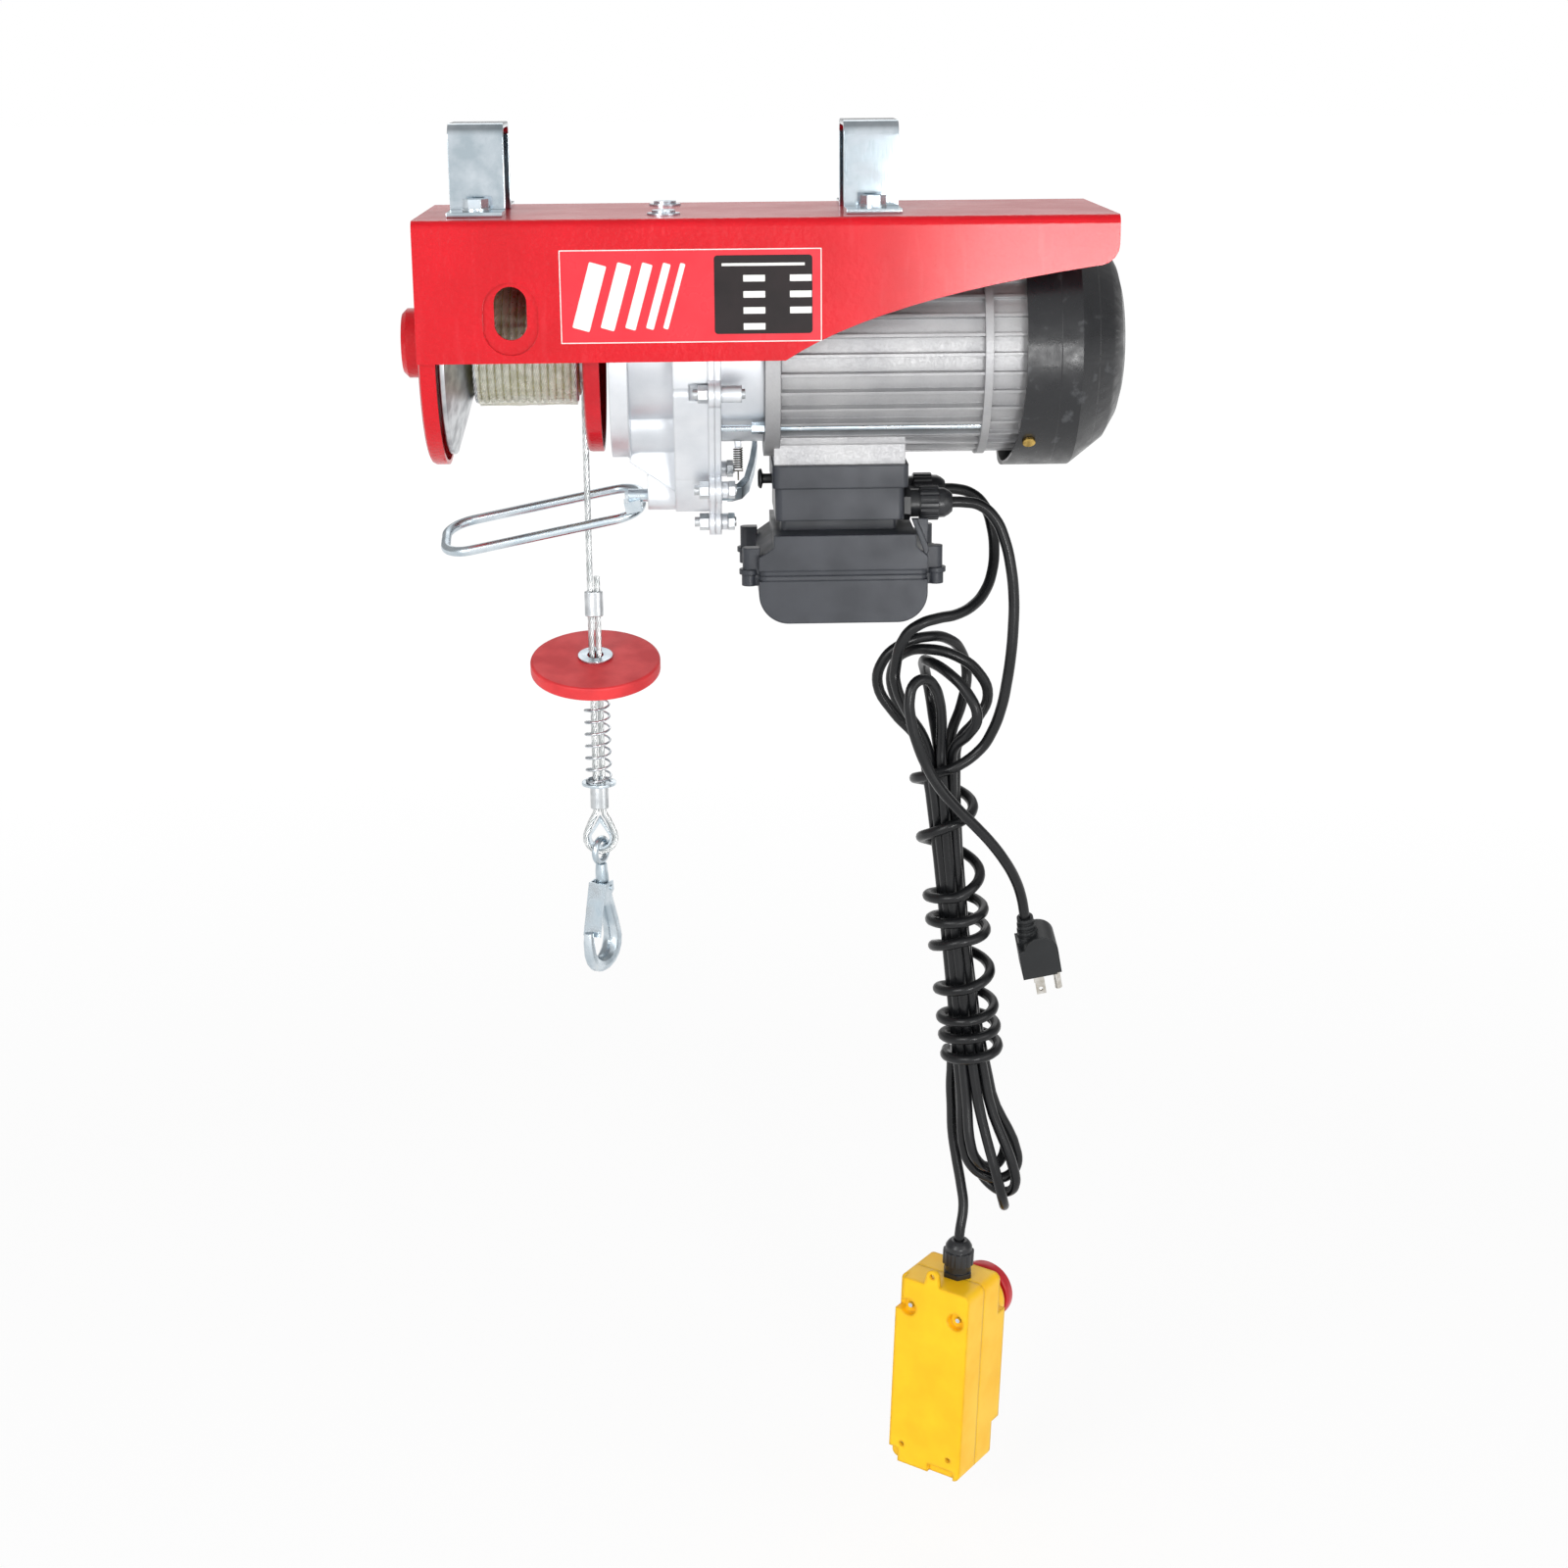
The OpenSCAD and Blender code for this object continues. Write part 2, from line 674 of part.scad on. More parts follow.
// Sheet metal keeper that closes the mouth of the hook
module hook_latch() {
    color("lightsteelblue") in_hook_plane() {
        for (s = [-1, 1]) slab_y(s * 5.7 - 0.5, s * 5.7 + 0.5) difference() {
            polygon([[-5.5, -21], [3.8, -20.5], [4.8, -27], [-6.5, -35], [-8.6, -34.5]]);
            translate([latch_x, latch_z]) circle(r = latch_pin + fit, $fn = round_n);
        }
        slab_y(-6.2, 6.2) polygon([[-4.9, -21], [-6, -21], [-14.9, -54.4], [-13.8, -54.8]]);
    }
}

// ---------- limit lever ----------

// Closed wire loop lying in its own plane; its origin is the near right corner
module wire_loop() {
    r = loop_corner;
    for (y = [0, loop_w]) rod_x(-loop_l + r, -r, loop_d / 2, y, 0);
    for (x = [-loop_l, 0]) translate([x, r, 0]) rotate([-90, 0, 0])
        cylinder(h = loop_w - 2 * r, d = loop_d, $fn = round_n);
    for (c = [[-r, r, -90], [-r, loop_w - r, 0], [-loop_l + r, loop_w - r, 90], [-loop_l + r, r, 180]])
        translate([c[0], c[1], 0]) rotate([0, 0, c[2]]) rotate_extrude(angle = 90, $fn = fine)
            translate([r, 0]) circle(d = loop_d, $fn = round_n);
}

module limit_loop() {
    color("lightsteelblue") in_loop_plane() wire_loop();
}

lever_x1 = 32;

// Puts children in the slanted plane of the limit loop
module in_loop_plane() {
    translate([loop_x, lever_y, loop_z]) rotate([0, -loop_pitch, 0]) rotate([loop_roll, 0, 0]) children();
}

module lever_shaft() {
    top = loop_d / 2 + seat_gap / 2;
    color("lightsteelblue") {
        rod_x(loop_x - 8, lever_x1, lever_r, lever_y, lever_z);
        in_loop_plane() {
            block(-9, 1.5, -3, loop_corner + 11, top, top + 2.5);
            block(-9, 1, -4, 4, top, lever_z - loop_z - 1);
        }
    }
}

arm_line = [[lever_x1 - 2, lever_y, lever_z], [36, 10.5, -193.5], [40.5, 16, -190], [44, 26, -181],
            [46, 33, -172], [46, 37, -167]];

module switch_arm() {
    color("lightsteelblue") difference() {
        for (i = [0:len(arm_line) - 2]) hull() for (q = [arm_line[i], arm_line[i + 1]])
            translate(q) rotate([35, 0, 0]) cube([3, 3, 10], center = true);
        rod_x(lever_x1 - 9, lever_x1 + 0.05, lever_r + 0.05, lever_y, lever_z);
    }
}

pull_r = 2.6;
pull_wire = 0.9;
pull_coils = 9;
pull_pitch = 1.4;
pull_x = 35.3;
pull_y = lever_y;
pull_z = -179.5;
pull_top = pull_z + pull_pitch * pull_coils;
pull_path = concat(
    [[pull_x + pull_r, pull_y - pull_wire, pull_z]],
    [for (i = [0:pull_coils * 8]) let (a = 45 * i)
        [pull_x + pull_r * cos(a), pull_y + pull_r * sin(a), pull_z + pull_pitch * i / 8]],
    [[pull_x + pull_r, pull_y + pull_wire, pull_top]]);
echo(return_spring_gap = least_gap(pull_path, pull_wire, 4));

module return_spring() {
    color("darkolivegreen") {
        tube(pull_path, pull_wire / 2, 6);
        rod_x(pull_x - 3, pull_x + 3, pull_wire / 2, pull_y, pull_z - 1.2);
        translate([pull_x, pull_y, pull_z - 7]) cylinder(h = 6, d = pull_wire, $fn = 16);
    }
}

button_x = 47;
button_z = cap_mid + 0.5;

module limit_button() {
    color("black") {
        turned_x(button_z, [[button_x, 0], [button_x, 4.5], [button_x + 1, 6], [button_x + 2.2, 6],
            [button_x + 3, 3], [cap_x0 + wall + 2, 3], [cap_x0 + wall + 2, 0]], round_n);
    }
}

// ---------- gearbox ----------

module case_outline(grow = 0) {
    translate([0, axis_z]) circle(r = house_r + grow, $fn = fine);
    translate([lobe_y, lobe_z]) circle(r = lobe_r + grow, $fn = fine);
    polygon([[-62 - grow, -132], [62 + grow, -132], [lobe_y + lobe_r * 0.94 + grow, lobe_z - 14],
             [lobe_y - lobe_r * 0.94 - grow, lobe_z - 14]]);
}

module flange_outline() {
    case_outline(1.5);
    for (e = ears) translate(e) circle(r = ear_r, $fn = round_n);
}

module bolt_holes(x0, x1) {
    for (e = ears) rod_x(x0, x1, flange_bolt_d / 2 + seat_gap, e[0], e[1]);
}

lug_grip = 12;
nut_drop = lug_grip - 1 - 0.7 * deck_bolt_d - seat_gap / 2;
output_x = 1.5;
output_w = 8;
first_x = 12;
first_w = 6;

module gearbox_body() {
    color("silver") difference() {
        union() {
            turned_x(axis_z, [[guard_x, guard_r - 4], [guard_x, guard_r], [guard_x + guard_t, guard_r],
                [guard_x + guard_t, bearing_r], [guard_x + 4, bearing_r], [guard_x + 4, guard_r - 4]]);
            rod_x(guard_x + 4, body_x0 + 2, 49, 0, axis_z, fine);
            rod_x(guard_x + guard_t - 2, body_x0 + 2, 22, 0, -148, fine);
            slab_x(body_x0, split_x) case_outline();
            slab_x(split_x - flange_t, split_x) flange_outline();
            slab_y(-14, -8) polygon([[guard_x + guard_t - 1, -166], [body_x0 + 1, -160],
                [body_x0 + 1, -190], [guard_x + guard_t - 1, -171]]);
            rod_x(-20, body_x0 + 2, 9, lever_y, lever_z);
            block(-20, body_x0 + 2, lever_y - 9, lever_y + 9, lever_z, lever_z + 14);
            for (s = [-1, 1]) block(-17, 6, s * deck_bolt_y - 9, s * deck_bolt_y + 9, -62, under_z);
        }
        rod_x(body_x0 + 3, split_x + 1, gear_m * output_teeth / 2 + 3, 0, axis_z, fine);
        rod_x(body_x0 + 3, split_x + 1, gear_m * first_teeth / 2 + 3, 0, counter_z, fine);
        rod_x(guard_x - 1, guard_x + 8 + drum_bearing_w, bearing_r + fit, 0, axis_z);
        rod_x(guard_x, body_x0 + 4, shaft_r + 1, 0, axis_z);
        rod_x(-14, body_x0 + 4, counter_r + fit, 0, counter_z);
        rod_x(-30, split_x + 1, lever_r + fit, lever_y, lever_z);
        bolt_holes(-20, split_x + 1);
        for (e = ears) rod_x(split_x - flange_t - 11, split_x - flange_t,
            flange_bolt_d * 0.9 + 2 * rub, e[0], e[1]);
        for (s = [-1, 1]) translate([deck_bolt_x, s * deck_bolt_y, 0]) {
            translate([0, 0, under_z - 36]) cylinder(h = 37, d = deck_bolt_d + 2 * seat_gap, $fn = round_n);
            translate([0, 0, under_z - 36]) cylinder(h = 36 - nut_drop, d = deck_bolt_d * 1.9, $fn = round_n);
        }
    }
}

counter_r = 4;

module gearbox_cover() {
    x0 = split_x;
    x1 = split_x + flange_t;
    color("lightgray") difference() {
        union() {
            slab_x(x0, x1) flange_outline();
            turned_x(motor_z, [[x1 - 1, bell_r - bell_wall], [x1 - 1, bell_r], [bell_x1, bell_r],
                [bell_x1, bell_r - bell_wall]]);
            rod_x(x1 - 1, x1 + 2 + motor_bearing_w + 1, motor_bearing_r + 4, 0, motor_z);
            for (e = ears) rod_x(x1 - 1, e[1] < low_ear_top ? x1 + 4 : x1 + 12, 5, e[0], e[1]);
            rod_x(x1 - 1, x1 + 6, counter_r + 4, 0, counter_z);
            block(pull_x - 2, pull_x + 2, pull_y - 2, pull_y + 2, pull_top + 0.4, pull_top + 6.9);
        }
        rod_x(x0 - 1, x1 + 20, rotor_shaft_r + 1, 0, motor_z);
        rod_x(x1 + 2 - seat_gap, x1 + 20, motor_bearing_r + fit, 0, motor_z);
        rod_x(x0 - 1, x1 + 4, counter_r + fit, 0, counter_z);
        rod_x(x0 - 1, x1 + 1, lever_r + fit, lever_y, lever_z);
        bolt_holes(x0 - 1, x1 + 20);
    }
}

module flange_bolts() {
    color("gray") for (e = ears) {
        low = e[1] < low_ear_top;
        x0 = split_x - flange_t;
        x1 = split_x + flange_t + (low ? 4 : 12);
        rod_x(x0 - 9, x1 + (low ? 5 : 2), flange_bolt_d / 2, e[0], e[1]);
        rod_x(x0 - 6, x0 - 0.1, flange_bolt_d * 0.9, e[0], e[1], 6);
        if (low) rod_x(x1 + 0.1, x1 + 4, flange_bolt_d * 0.9, e[0], e[1], 6);
    }
}

// Gear outline: straight-sided teeth, tooth centre at angle phase
module gear_outline(teeth, phase) {
    pitch = 360 / teeth;
    rp = gear_m * teeth / 2;
    polygon([for (i = [0:teeth - 1]) for (q = [[-0.27, -1.3], [-0.12, 0.85], [0.12, 0.85], [0.27, -1.3]])
        let (a = phase + (i + q[0]) * pitch, r = rp + q[1] * gear_m) [r * cos(a), r * sin(a)]]);
}

module gear_x(x0, width, teeth, phase, z) {
    translate([0, 0, z]) slab_x(x0, x0 + width) gear_outline(teeth, phase);
}

module output_gear() {
    color("slategray") difference() {
        gear_x(output_x, output_w, output_teeth, -90 + 180 / output_teeth, axis_z);
        rod_x(output_x - 1, output_x + output_w + 1, shaft_r + seat_gap / 4, 0, axis_z);
    }
}

module countershaft() {
    color("slategray") {
        rod_x(-12, split_x + flange_t + 2, counter_r, 0, counter_z);
        gear_x(output_x - 0.5, first_x - output_x + 1, pinion_teeth, 90, counter_z);
        gear_x(first_x, first_w, first_teeth, 90 + 180 / first_teeth, counter_z);
    }
}

// ---------- motor ----------

module fin_ring() {
    for (i = [0:fins - 1]) rotate(i * 360 / fins) translate([fin_r - fin_h - 1, -1]) square([fin_h + 1, 2]);
}

module motor_housing() {
    foot_y1 = 33;
    core_r = fin_r - fin_h;
    color("silver") difference() {
        union() {
            turned_x(motor_z, [[bell_x1, bore_r], [bell_x1, fin_r + 1.5], [ring_x1, fin_r + 1.5],
                [ring_x1 + 1, core_r], [fin_x1, core_r], [fin_x1, fin_r + 1.5],
                [fin_x1 + 4.8, fin_r + 1.5], [fin_x1 + 4.8, fin_r - 2.5], [band_x1, fin_r - 2.5],
                [band_x1, bore_r]]);
            intersection() {
                translate([0, 0, motor_z]) slab_x(ring_x1, band_x1) fin_ring();
                turned_x(motor_z, [[ring_x1, 0], [ring_x1, fin_r], [band_x1 - 0.5, fin_r], [band_x1 - 0.5, 0]]);
            }
            block(cap_x0 + 1, cap_x1 - 2, -foot_y1, foot_y1, cap_top, motor_z - 48);
            turned_x(motor_z, [[band_x1 - 14, rotor_shaft_r + 1], [band_x1 - 14, motor_bearing_r + 4],
                [band_x1 - 4, motor_bearing_r + 4], [band_x1 - 4, bore_r + 1], [band_x1, bore_r + 1],
                [band_x1, rotor_shaft_r + 1]]);
            for (a = [45:90:315]) translate([0, 0, motor_z]) rotate([a, 0, 0])
                translate([lug_x, bore_r - 1, 0]) rotate([-90, 0, 0])
                    cylinder(h = fan_cover_r - fan_cover_t - bore_r + 1 - 2 * seat_gap, r = 5, $fn = round_n);
        }
        for (a = [45:90:315]) translate([0, 0, motor_z]) rotate([a, 0, 0])
            translate([lug_x, bore_r, 0]) rotate([-90, 0, 0]) cylinder(h = 20, r = 2 + fit, $fn = round_n);
        turned_x(motor_z, [[bell_x1 - 1, 0], [bell_x1 - 1, bore_r], [band_x1 - 15, bore_r], [band_x1 - 15, 0]]);
        rod_x(band_x1 - 13 - seat_gap, band_x1 - 4 + seat_gap, motor_bearing_r + fit, 0, motor_z);
        for (a = [45:90:315]) rod_x(bell_x1 - 1, rod_x1 + 1, tie_d / 2 + seat_gap,
            tie_r * cos(a), motor_z + tie_r * sin(a));
        block(cap_x0 + 8, cap_x1 - 9, -foot_y1 + 6, foot_y1 - 6, cap_top - 1, motor_z - 55);
    }
}

rod_x1 = fin_x1 + 4;
stator_x0 = 70;
stator_x1 = 150;

module stator() {
    color("darkgoldenrod") turned_x(motor_z, [[stator_x0 - 10, 38], [stator_x0 - 10, 52], [stator_x0, 54],
        [stator_x0, bore_r - 0.1], [stator_x1, bore_r - 0.1], [stator_x1, 54], [stator_x1 + 10, 52],
        [stator_x1 + 10, 38], [stator_x1, 36], [stator_x1, 32], [stator_x0, 32], [stator_x0, 36]]);
}

module rotor() {
    color("gray") {
        rod_x(first_x - 1, rotor_end, pinion_teeth * gear_m / 2 - 1.4, 0, motor_z);
        rod_x(split_x + 0.5, rotor_end, rotor_shaft_r, 0, motor_z);
        rod_x(stator_x0, stator_x1, 31.5, 0, motor_z, fine);
        gear_x(first_x - 1, first_w + 2, pinion_teeth, -90, motor_z);
    }
}

fan_x0 = band_x1 + 2;
fan_x1 = fan_x0 + 18;
rotor_end = fan_x1 + 4;

module fan() {
    color("dimgray") difference() {
        union() {
            rod_x(fan_x0, fan_x1, 13, 0, motor_z);
            rod_x(fan_x0, fan_x0 + 2, 58, 0, motor_z, fine);
            for (a = [0:45:315]) translate([fan_x0, 0, motor_z]) rotate([a, 0, 0])
                translate([0, 10, -1]) cube([fan_x1 - fan_x0, 48, 2]);
        }
        rod_x(fan_x0 - 1, fan_x1 + 1, rotor_shaft_r + seat_gap / 4, 0, motor_z);
    }
}

module cover_profile(d) {
    turned_x(motor_z, [[cover_x0 - 2 * d, 0], [cover_x0 - 2 * d, fan_cover_r - d],
        [cover_x1 - 30 - d / 2, fan_cover_r - d], [cover_x1 - 10 - d, 58 - d / 2],
        [cover_x1 - 3 - d, 46 - d], [cover_x1 - d, 36 - d], [cover_x1 - d, 0]]);
}

module fan_cover() {
    slant = 15;
    color("black") difference() {
        cover_profile(0);
        difference() {
            translate([-0.5, 0, 0]) cover_profile(fan_cover_t);
            rod_x(cover_x1 - 3, cover_x1 + 1, 80, 0, motor_z);
        }
        slab_y(-80, 80) polygon(concat([[cover_x0 - 5, motor_z + 90], [cover_x0 + slant, motor_z + 90]],
            [for (i = [0:8]) let (t = i / 8) [cover_x0 + slant * cos(90 * t), motor_z - 5 - 80 * sin(90 * t)]],
            [[cover_x0 - 5, motor_z - 85]]));
        for (a = [0:30:330]) translate([cover_x1 - 10, 0, motor_z]) rotate([a, 0, 0])
            translate([0, 12, -2]) cube([14, 18, 4]);
        for (a = [45:90:315]) translate([0, 0, motor_z]) rotate([a, 0, 0])
            translate([lug_x, fan_cover_r - 6, 0]) rotate([-90, 0, 0])
                cylinder(h = 10, r = 2 + seat_gap, $fn = round_n);
    }
}

module tie_rods() {
    color("silver") for (a = [45:90:315]) {
        y = tie_r * cos(a);
        z = motor_z + tie_r * sin(a);
        rod_x(split_x + flange_t + 0.1, rod_x1, tie_d / 2, y, z);
        rod_x(bell_x1 - 8, bell_x1 - 0.1, tie_d * 0.9, y, z, 6);
    }
}

module case_screws() {
    color("goldenrod") for (a = [45:90:315]) translate([0, 0, motor_z]) rotate([a, 0, 0])
        translate([lug_x, fan_cover_r, 0]) rotate([-90, 0, 0]) {
            translate([0, 0, -11]) cylinder(h = 11.5, r = 2, $fn = round_n);
            translate([0, 0, 0.05]) cylinder(h = 2, r = 3.8, $fn = round_n);
        }
    color("dimgray") for (x = [box_x0 - screw_boss_out, box_x0 + box_w + screw_boss_out])
        for (y = [-1, 1]) translate([x, y * screw_boss_y, rim_z0 - box_ear_l + 0.4]) {
            cylinder(h = 15, r = 1.8, $fn = round_n);
            cylinder(h = 2, r = 3, $fn = round_n);
        }
}

// ---------- switch box ----------

module rounded_block(x0, x1, y0, y1, z0, z1, r) {
    translate([0, 0, z0]) linear_extrude(z1 - z0) {
        translate([x0 + r, y0]) square([x1 - x0 - 2 * r, y1 - y0]);
        translate([x0, y0 + r]) square([x1 - x0, y1 - y0 - 2 * r]);
        for (x = [x0 + r, x1 - r]) for (y = [y0 + r, y1 - r]) translate([x, y])
            circle(r = r, $fn = round_n);
    }
}

module box_cap() {
    color("dimgray") difference() {
        union() {
            rounded_block(cap_x0, cap_x1, -cap_y, cap_y, cap_mid, cap_top, 4);
            rounded_block(cap_x0 + 1.5, cap_x1 - 2.5, -cap_y + 1.5, cap_y - 1.5, cap_low, cap_mid, 4);
        }
        block(cap_x0 + wall + 1.5, cap_x1 - wall - 2.5, -cap_y + wall + 1.5, cap_y - wall - 1.5,
            cap_low + wall, cap_top - wall);
        block(cap_x0 + 14, cap_x1 - 15, -neck_y + 6, neck_y - 6, cap_low - 1, cap_low + wall + 1);
        rod_x(cap_x0 - 1, cap_x0 + 6, 3 + rub, 0, button_z);
        for (s = [-1, 1]) rod_x(cap_x1 - 9, cap_x1 + 1, 6 + seat_gap, s * gland_y, gland_z);
    }
}

module screw_ear(x, y, z0, z1, r) {
    translate([x, y, z0]) cylinder(h = z1 - z0, r = r, $fn = round_n);
}

box_ear_l = 4;
chamfer_top = body_top - 7.3;
chamfer_low = chamfer_top - 6.1;

// Front outline of the box body, shrunk by a wall: narrow at the top, slanting out to the full width
module body_outline(inset) {
    x0 = box_x0 + inset;
    x1 = box_x0 + box_w - inset;
    polygon([[x0, rim_z1], [x0, chamfer_low - inset / 2], [x0 + 9, chamfer_top - inset / 2],
        [x0 + 9, body_top - inset], [x1 - 7, body_top - inset], [x1 - 7, chamfer_top - inset / 2],
        [x1, chamfer_low - inset / 2], [x1, rim_z1]]);
}

// Three-cornered stay from the slanted shoulder up to the cap, with a thicker slanting edge
module body_stay() {
    x = box_x0 + box_w;
    slab_y(-40, -37.5) polygon([[x - 9, cap_low + 1.4], [x + 0.3, cap_low + 1.4],
        [x + 0.3, chamfer_low + 4], [x - 1, chamfer_low - 1]]);
    slab_y(-42, -37.5) polygon([[x - 9.6, cap_low + 1.4], [x - 6.6, cap_low + 1.4],
        [x + 1, chamfer_low + 4], [x - 1, chamfer_low - 1]]);
}

module box_body() {
    x1 = box_x0 + box_w;
    y1 = box_d / 2;
    color("dimgray") difference() {
        union() {
            rounded_block(cap_x0 + 5, cap_x1 - 6, -neck_y, neck_y, body_top - 1, cap_low, 3);
            slab_y(-y1, y1) body_outline(0);
            rounded_block(box_x0 + 0.4, x1 - 0.4, -y1 + 0.6, y1 - 0.6, rim_z0 + 3, rim_z1, 4);
            body_stay();
            for (x = [box_x0 - screw_boss_out, x1 + screw_boss_out]) for (y = [-1, 1]) {
                screw_ear(x, y * screw_boss_y, rim_z0 + 3, body_top - 8.3, 4);
                screw_ear(x, y * screw_boss_y, rim_z0 + 3, rim_z1, 6);
                block(min(x, x < 80 ? box_x0 + 1 : x1 - 1), max(x, x < 80 ? box_x0 + 1 : x1 - 1),
                    y * screw_boss_y - 4, y * screw_boss_y + 4, rim_z0 + 3, body_top - 8.3);
            }
        }
        slab_y(-y1 + wall, y1 - wall) body_outline(wall);
        block(box_x0 + wall, x1 - wall, -y1 + wall + 0.6, y1 - wall - 0.6, rim_z0 - 1, rim_z1 + 1);
        block(cap_x0 + 14, cap_x1 - 15, -neck_y + 6, neck_y - 6, body_top - wall - 1, cap_low + 1);
        for (x = [box_x0 - screw_boss_out, x1 + screw_boss_out]) for (y = [-1, 1])
            screw_ear(x, y * screw_boss_y, rim_z0 - 1, rim_z0 + 13, 1.8 + seat_gap / 4);
    }
}

// Side outline of the lid with round lower corners, shrunk by a wall
module lid_outline(inset, top) {
    x1 = box_x0 + box_w;
    intersection() {
        union() {
            translate([box_x0 + inset, lid_low + lid_r]) square([box_w - 2 * inset, 60]);
            translate([box_x0 + lid_r, lid_low + inset]) square([box_w - 2 * lid_r, 60]);
            for (x = [box_x0 + lid_r, x1 - lid_r]) translate([x, lid_low + lid_r])
                circle(r = lid_r - inset, $fn = fine);
        }
        translate([box_x0 - 1, lid_low - 1]) square([box_w + 2, top - lid_low + 1]);
    }
}

module box_lid() {
    x1 = box_x0 + box_w;
    y1 = box_d / 2;
    top = rim_z0 + 2.9;
    color("dimgray") difference() {
        union() {
            slab_y(-y1, y1) lid_outline(0, rim_z0);
            rounded_block(box_x0 + 0.4, x1 - 0.4, -y1 + 0.6, y1 - 0.6, rim_z0 - 1, top, 4);
            for (x = [box_x0 - screw_boss_out, x1 + screw_boss_out]) for (y = [-1, 1]) {
                screw_ear(x, y * screw_boss_y, rim_z0 - box_ear_l, top, 4.6);
                block(min(x, x < 80 ? box_x0 + 1 : x1 - 1), max(x, x < 80 ? box_x0 + 1 : x1 - 1),
                    y * screw_boss_y - 3, y * screw_boss_y + 3, rim_z0 - box_ear_l, top);
            }
        }
        slab_y(-y1 + wall, y1 - wall) lid_outline(wall, rim_z0 + 1);
        block(box_x0 + wall, x1 - wall, -y1 + wall + 0.6, y1 - wall - 0.6, rim_z0 - 1.5, top + 1);
        for (x = [box_x0 - screw_boss_out, x1 + screw_boss_out]) for (y = [-1, 1]) {
            screw_ear(x, y * screw_boss_y, rim_z0 - 9, top + 1, 1.8 + seat_gap);
            screw_ear(x, y * screw_boss_y, rim_z0 - 9, rim_z0 - box_ear_l + 2.4, 3 + seat_gap);
        }
    }
}

module capacitor() {
    color("ghostwhite") rod_x(box_x0 + 20, box_x0 + box_w - 20, 17, 0, lid_low + wall + 17.3);
}

// Screwed cable gland along +Z, from its mounting face
module gland(length) {
    bore = cord_r + seat_gap;
    difference() {
        union() {
            translate([0, 0, -4]) cylinder(h = 5, r = 6, $fn = round_n);
            cylinder(h = length * 0.14, r = 10.4, $fn = 6);
            translate([0, 0, length * 0.14]) cylinder(h = length * 0.2, r = 8.4, $fn = round_n);
            translate([0, 0, length * 0.33]) cylinder(h = length * 0.39, r = 9.8, $fn = round_n);
            translate([0, 0, length * 0.72]) rotate_extrude($fn = round_n) polygon([[0, 0], [9, 0],
                [8.8, length * 0.12], [7.4, length * 0.21], [5.6, length * 0.28], [0, length * 0.28]]);
        }
        translate([0, 0, length - 6]) cylinder(h = 10, r = bore, $fn = round_n);
        translate([0, 0, -5]) cylinder(h = 8, r = 4, $fn = round_n);
    }
}

module cable_glands() {
    color("black") for (s = [-1, 1]) translate([gland_x0, s * gland_y, gland_z]) rotate([0, 90, 0])
        gland(gland_l);
}

// ---------- cords ----------

gland_end = gland_x0 + gland_l;

// Hand-chosen routes of the free cords
power_route = [[gland_end - 5.5, 23.5, -196], [gland_end + 7, 23.5, -196], [180, 23, -199], [188, 21, -207],
    [192, 17, -219], [193, 11, -232], [191, 3, -244], [186, -6, -254], [178, -15, -261],
    [167, -23, -265], [155, -29, -266], [144, -31, -269], [135, -29, -277]];
plug_route = [[159, -14, -333], [157, -20, -320], [153, -27, -309], [147, -33, -303],
    [140, -37, -305], [137, -39, -314], [138, -39, -327], [142, -38, -342], [148, -36, -357],
    [156, -35, -371], [167, -33, -385], [179, -30, -398], [190, -26, -411], [199, -22, -424],
    [206, -17, -437], [211, -12, -451], [214, -8, -466]];
pendant_route = [[gland_end - 5.5, -23.5, -196], [gland_end + 7, -23.5, -196], [180, -24, -198],
    [189, -25, -206], [195, -26, -219], [199, -27, -236], [201, -27, -254], [201, -27, -272], [200, -26, -290],
    [198, -24, -308], [195, -22, -325], [190, -20, -340], [183, -18, -352]];
drop_route = [[170.5, 16, -568], [171, 17.5, -577], [170.5, 16.5, -590], [171, 15, -605],
    [171.5, 13, -622], [174, 10.5, -640], [177, 7.5, -658], [178.5, 4, -672]];

function hank_axis(z) = hank_x + hank_lean * (hank_top - z) + foot_lean * max(0, waist_low - z);

// Point of the hank at a radius and an azimuth from its leaning axis
function hank_point(h, azimuth, z) = [hank_axis(z) + h * cos(azimuth), h * sin(azimuth), z];

// Twelve stations of a half loop, from top to bottom: [radius, height]
function half_loop(top, low) = concat(
    [for (a = [0:30:90]) [lobe_w * sin(a), top - lobe_h * (1 - cos(a))]],
    [for (v = [0.4, 0.75, 1]) [waist_r + (lobe_w - waist_r) * (1 + cos(180 * v)) / 2,
                               top - lobe_h + v * (waist_top - top + lobe_h)]],
    [[waist_r, waist_low]],
    [for (a = [90:-30:30]) [foot_w * sin(a), low + foot_h * (1 - cos(a))]]);

function loop_top(k) = hank_top - hank_step * k;
function loop_low(k) = hank_low - hank_low_step * k;
function azimuth_of(k) = first_azimuth - 45 * k;

// Down one side, round the foot, up the other side, and over the top to the next loop
function hank_loop(k) =
    let (down = half_loop(loop_top(k), loop_low(k)), up = half_loop(loop_top(k + 1), loop_low(k)),
         a = azimuth_of(k), n = len(down))
    concat(
        [for (i = [k == 0 ? 3 : 0:n - 1])
            hank_point(down[i][0], a + (i < 3 ? [22.5, 10, 3][i] : 0), down[i][1])],
        [hank_point(0, a, loop_low(k))],
        [for (i = [n - 1:-1:(k == hank_loops - 1 ? 7 : 1)])
            hank_point(-up[i][0], a - (i < 3 ? [22.5, 10, 3][i] : 0), up[i][1])]);

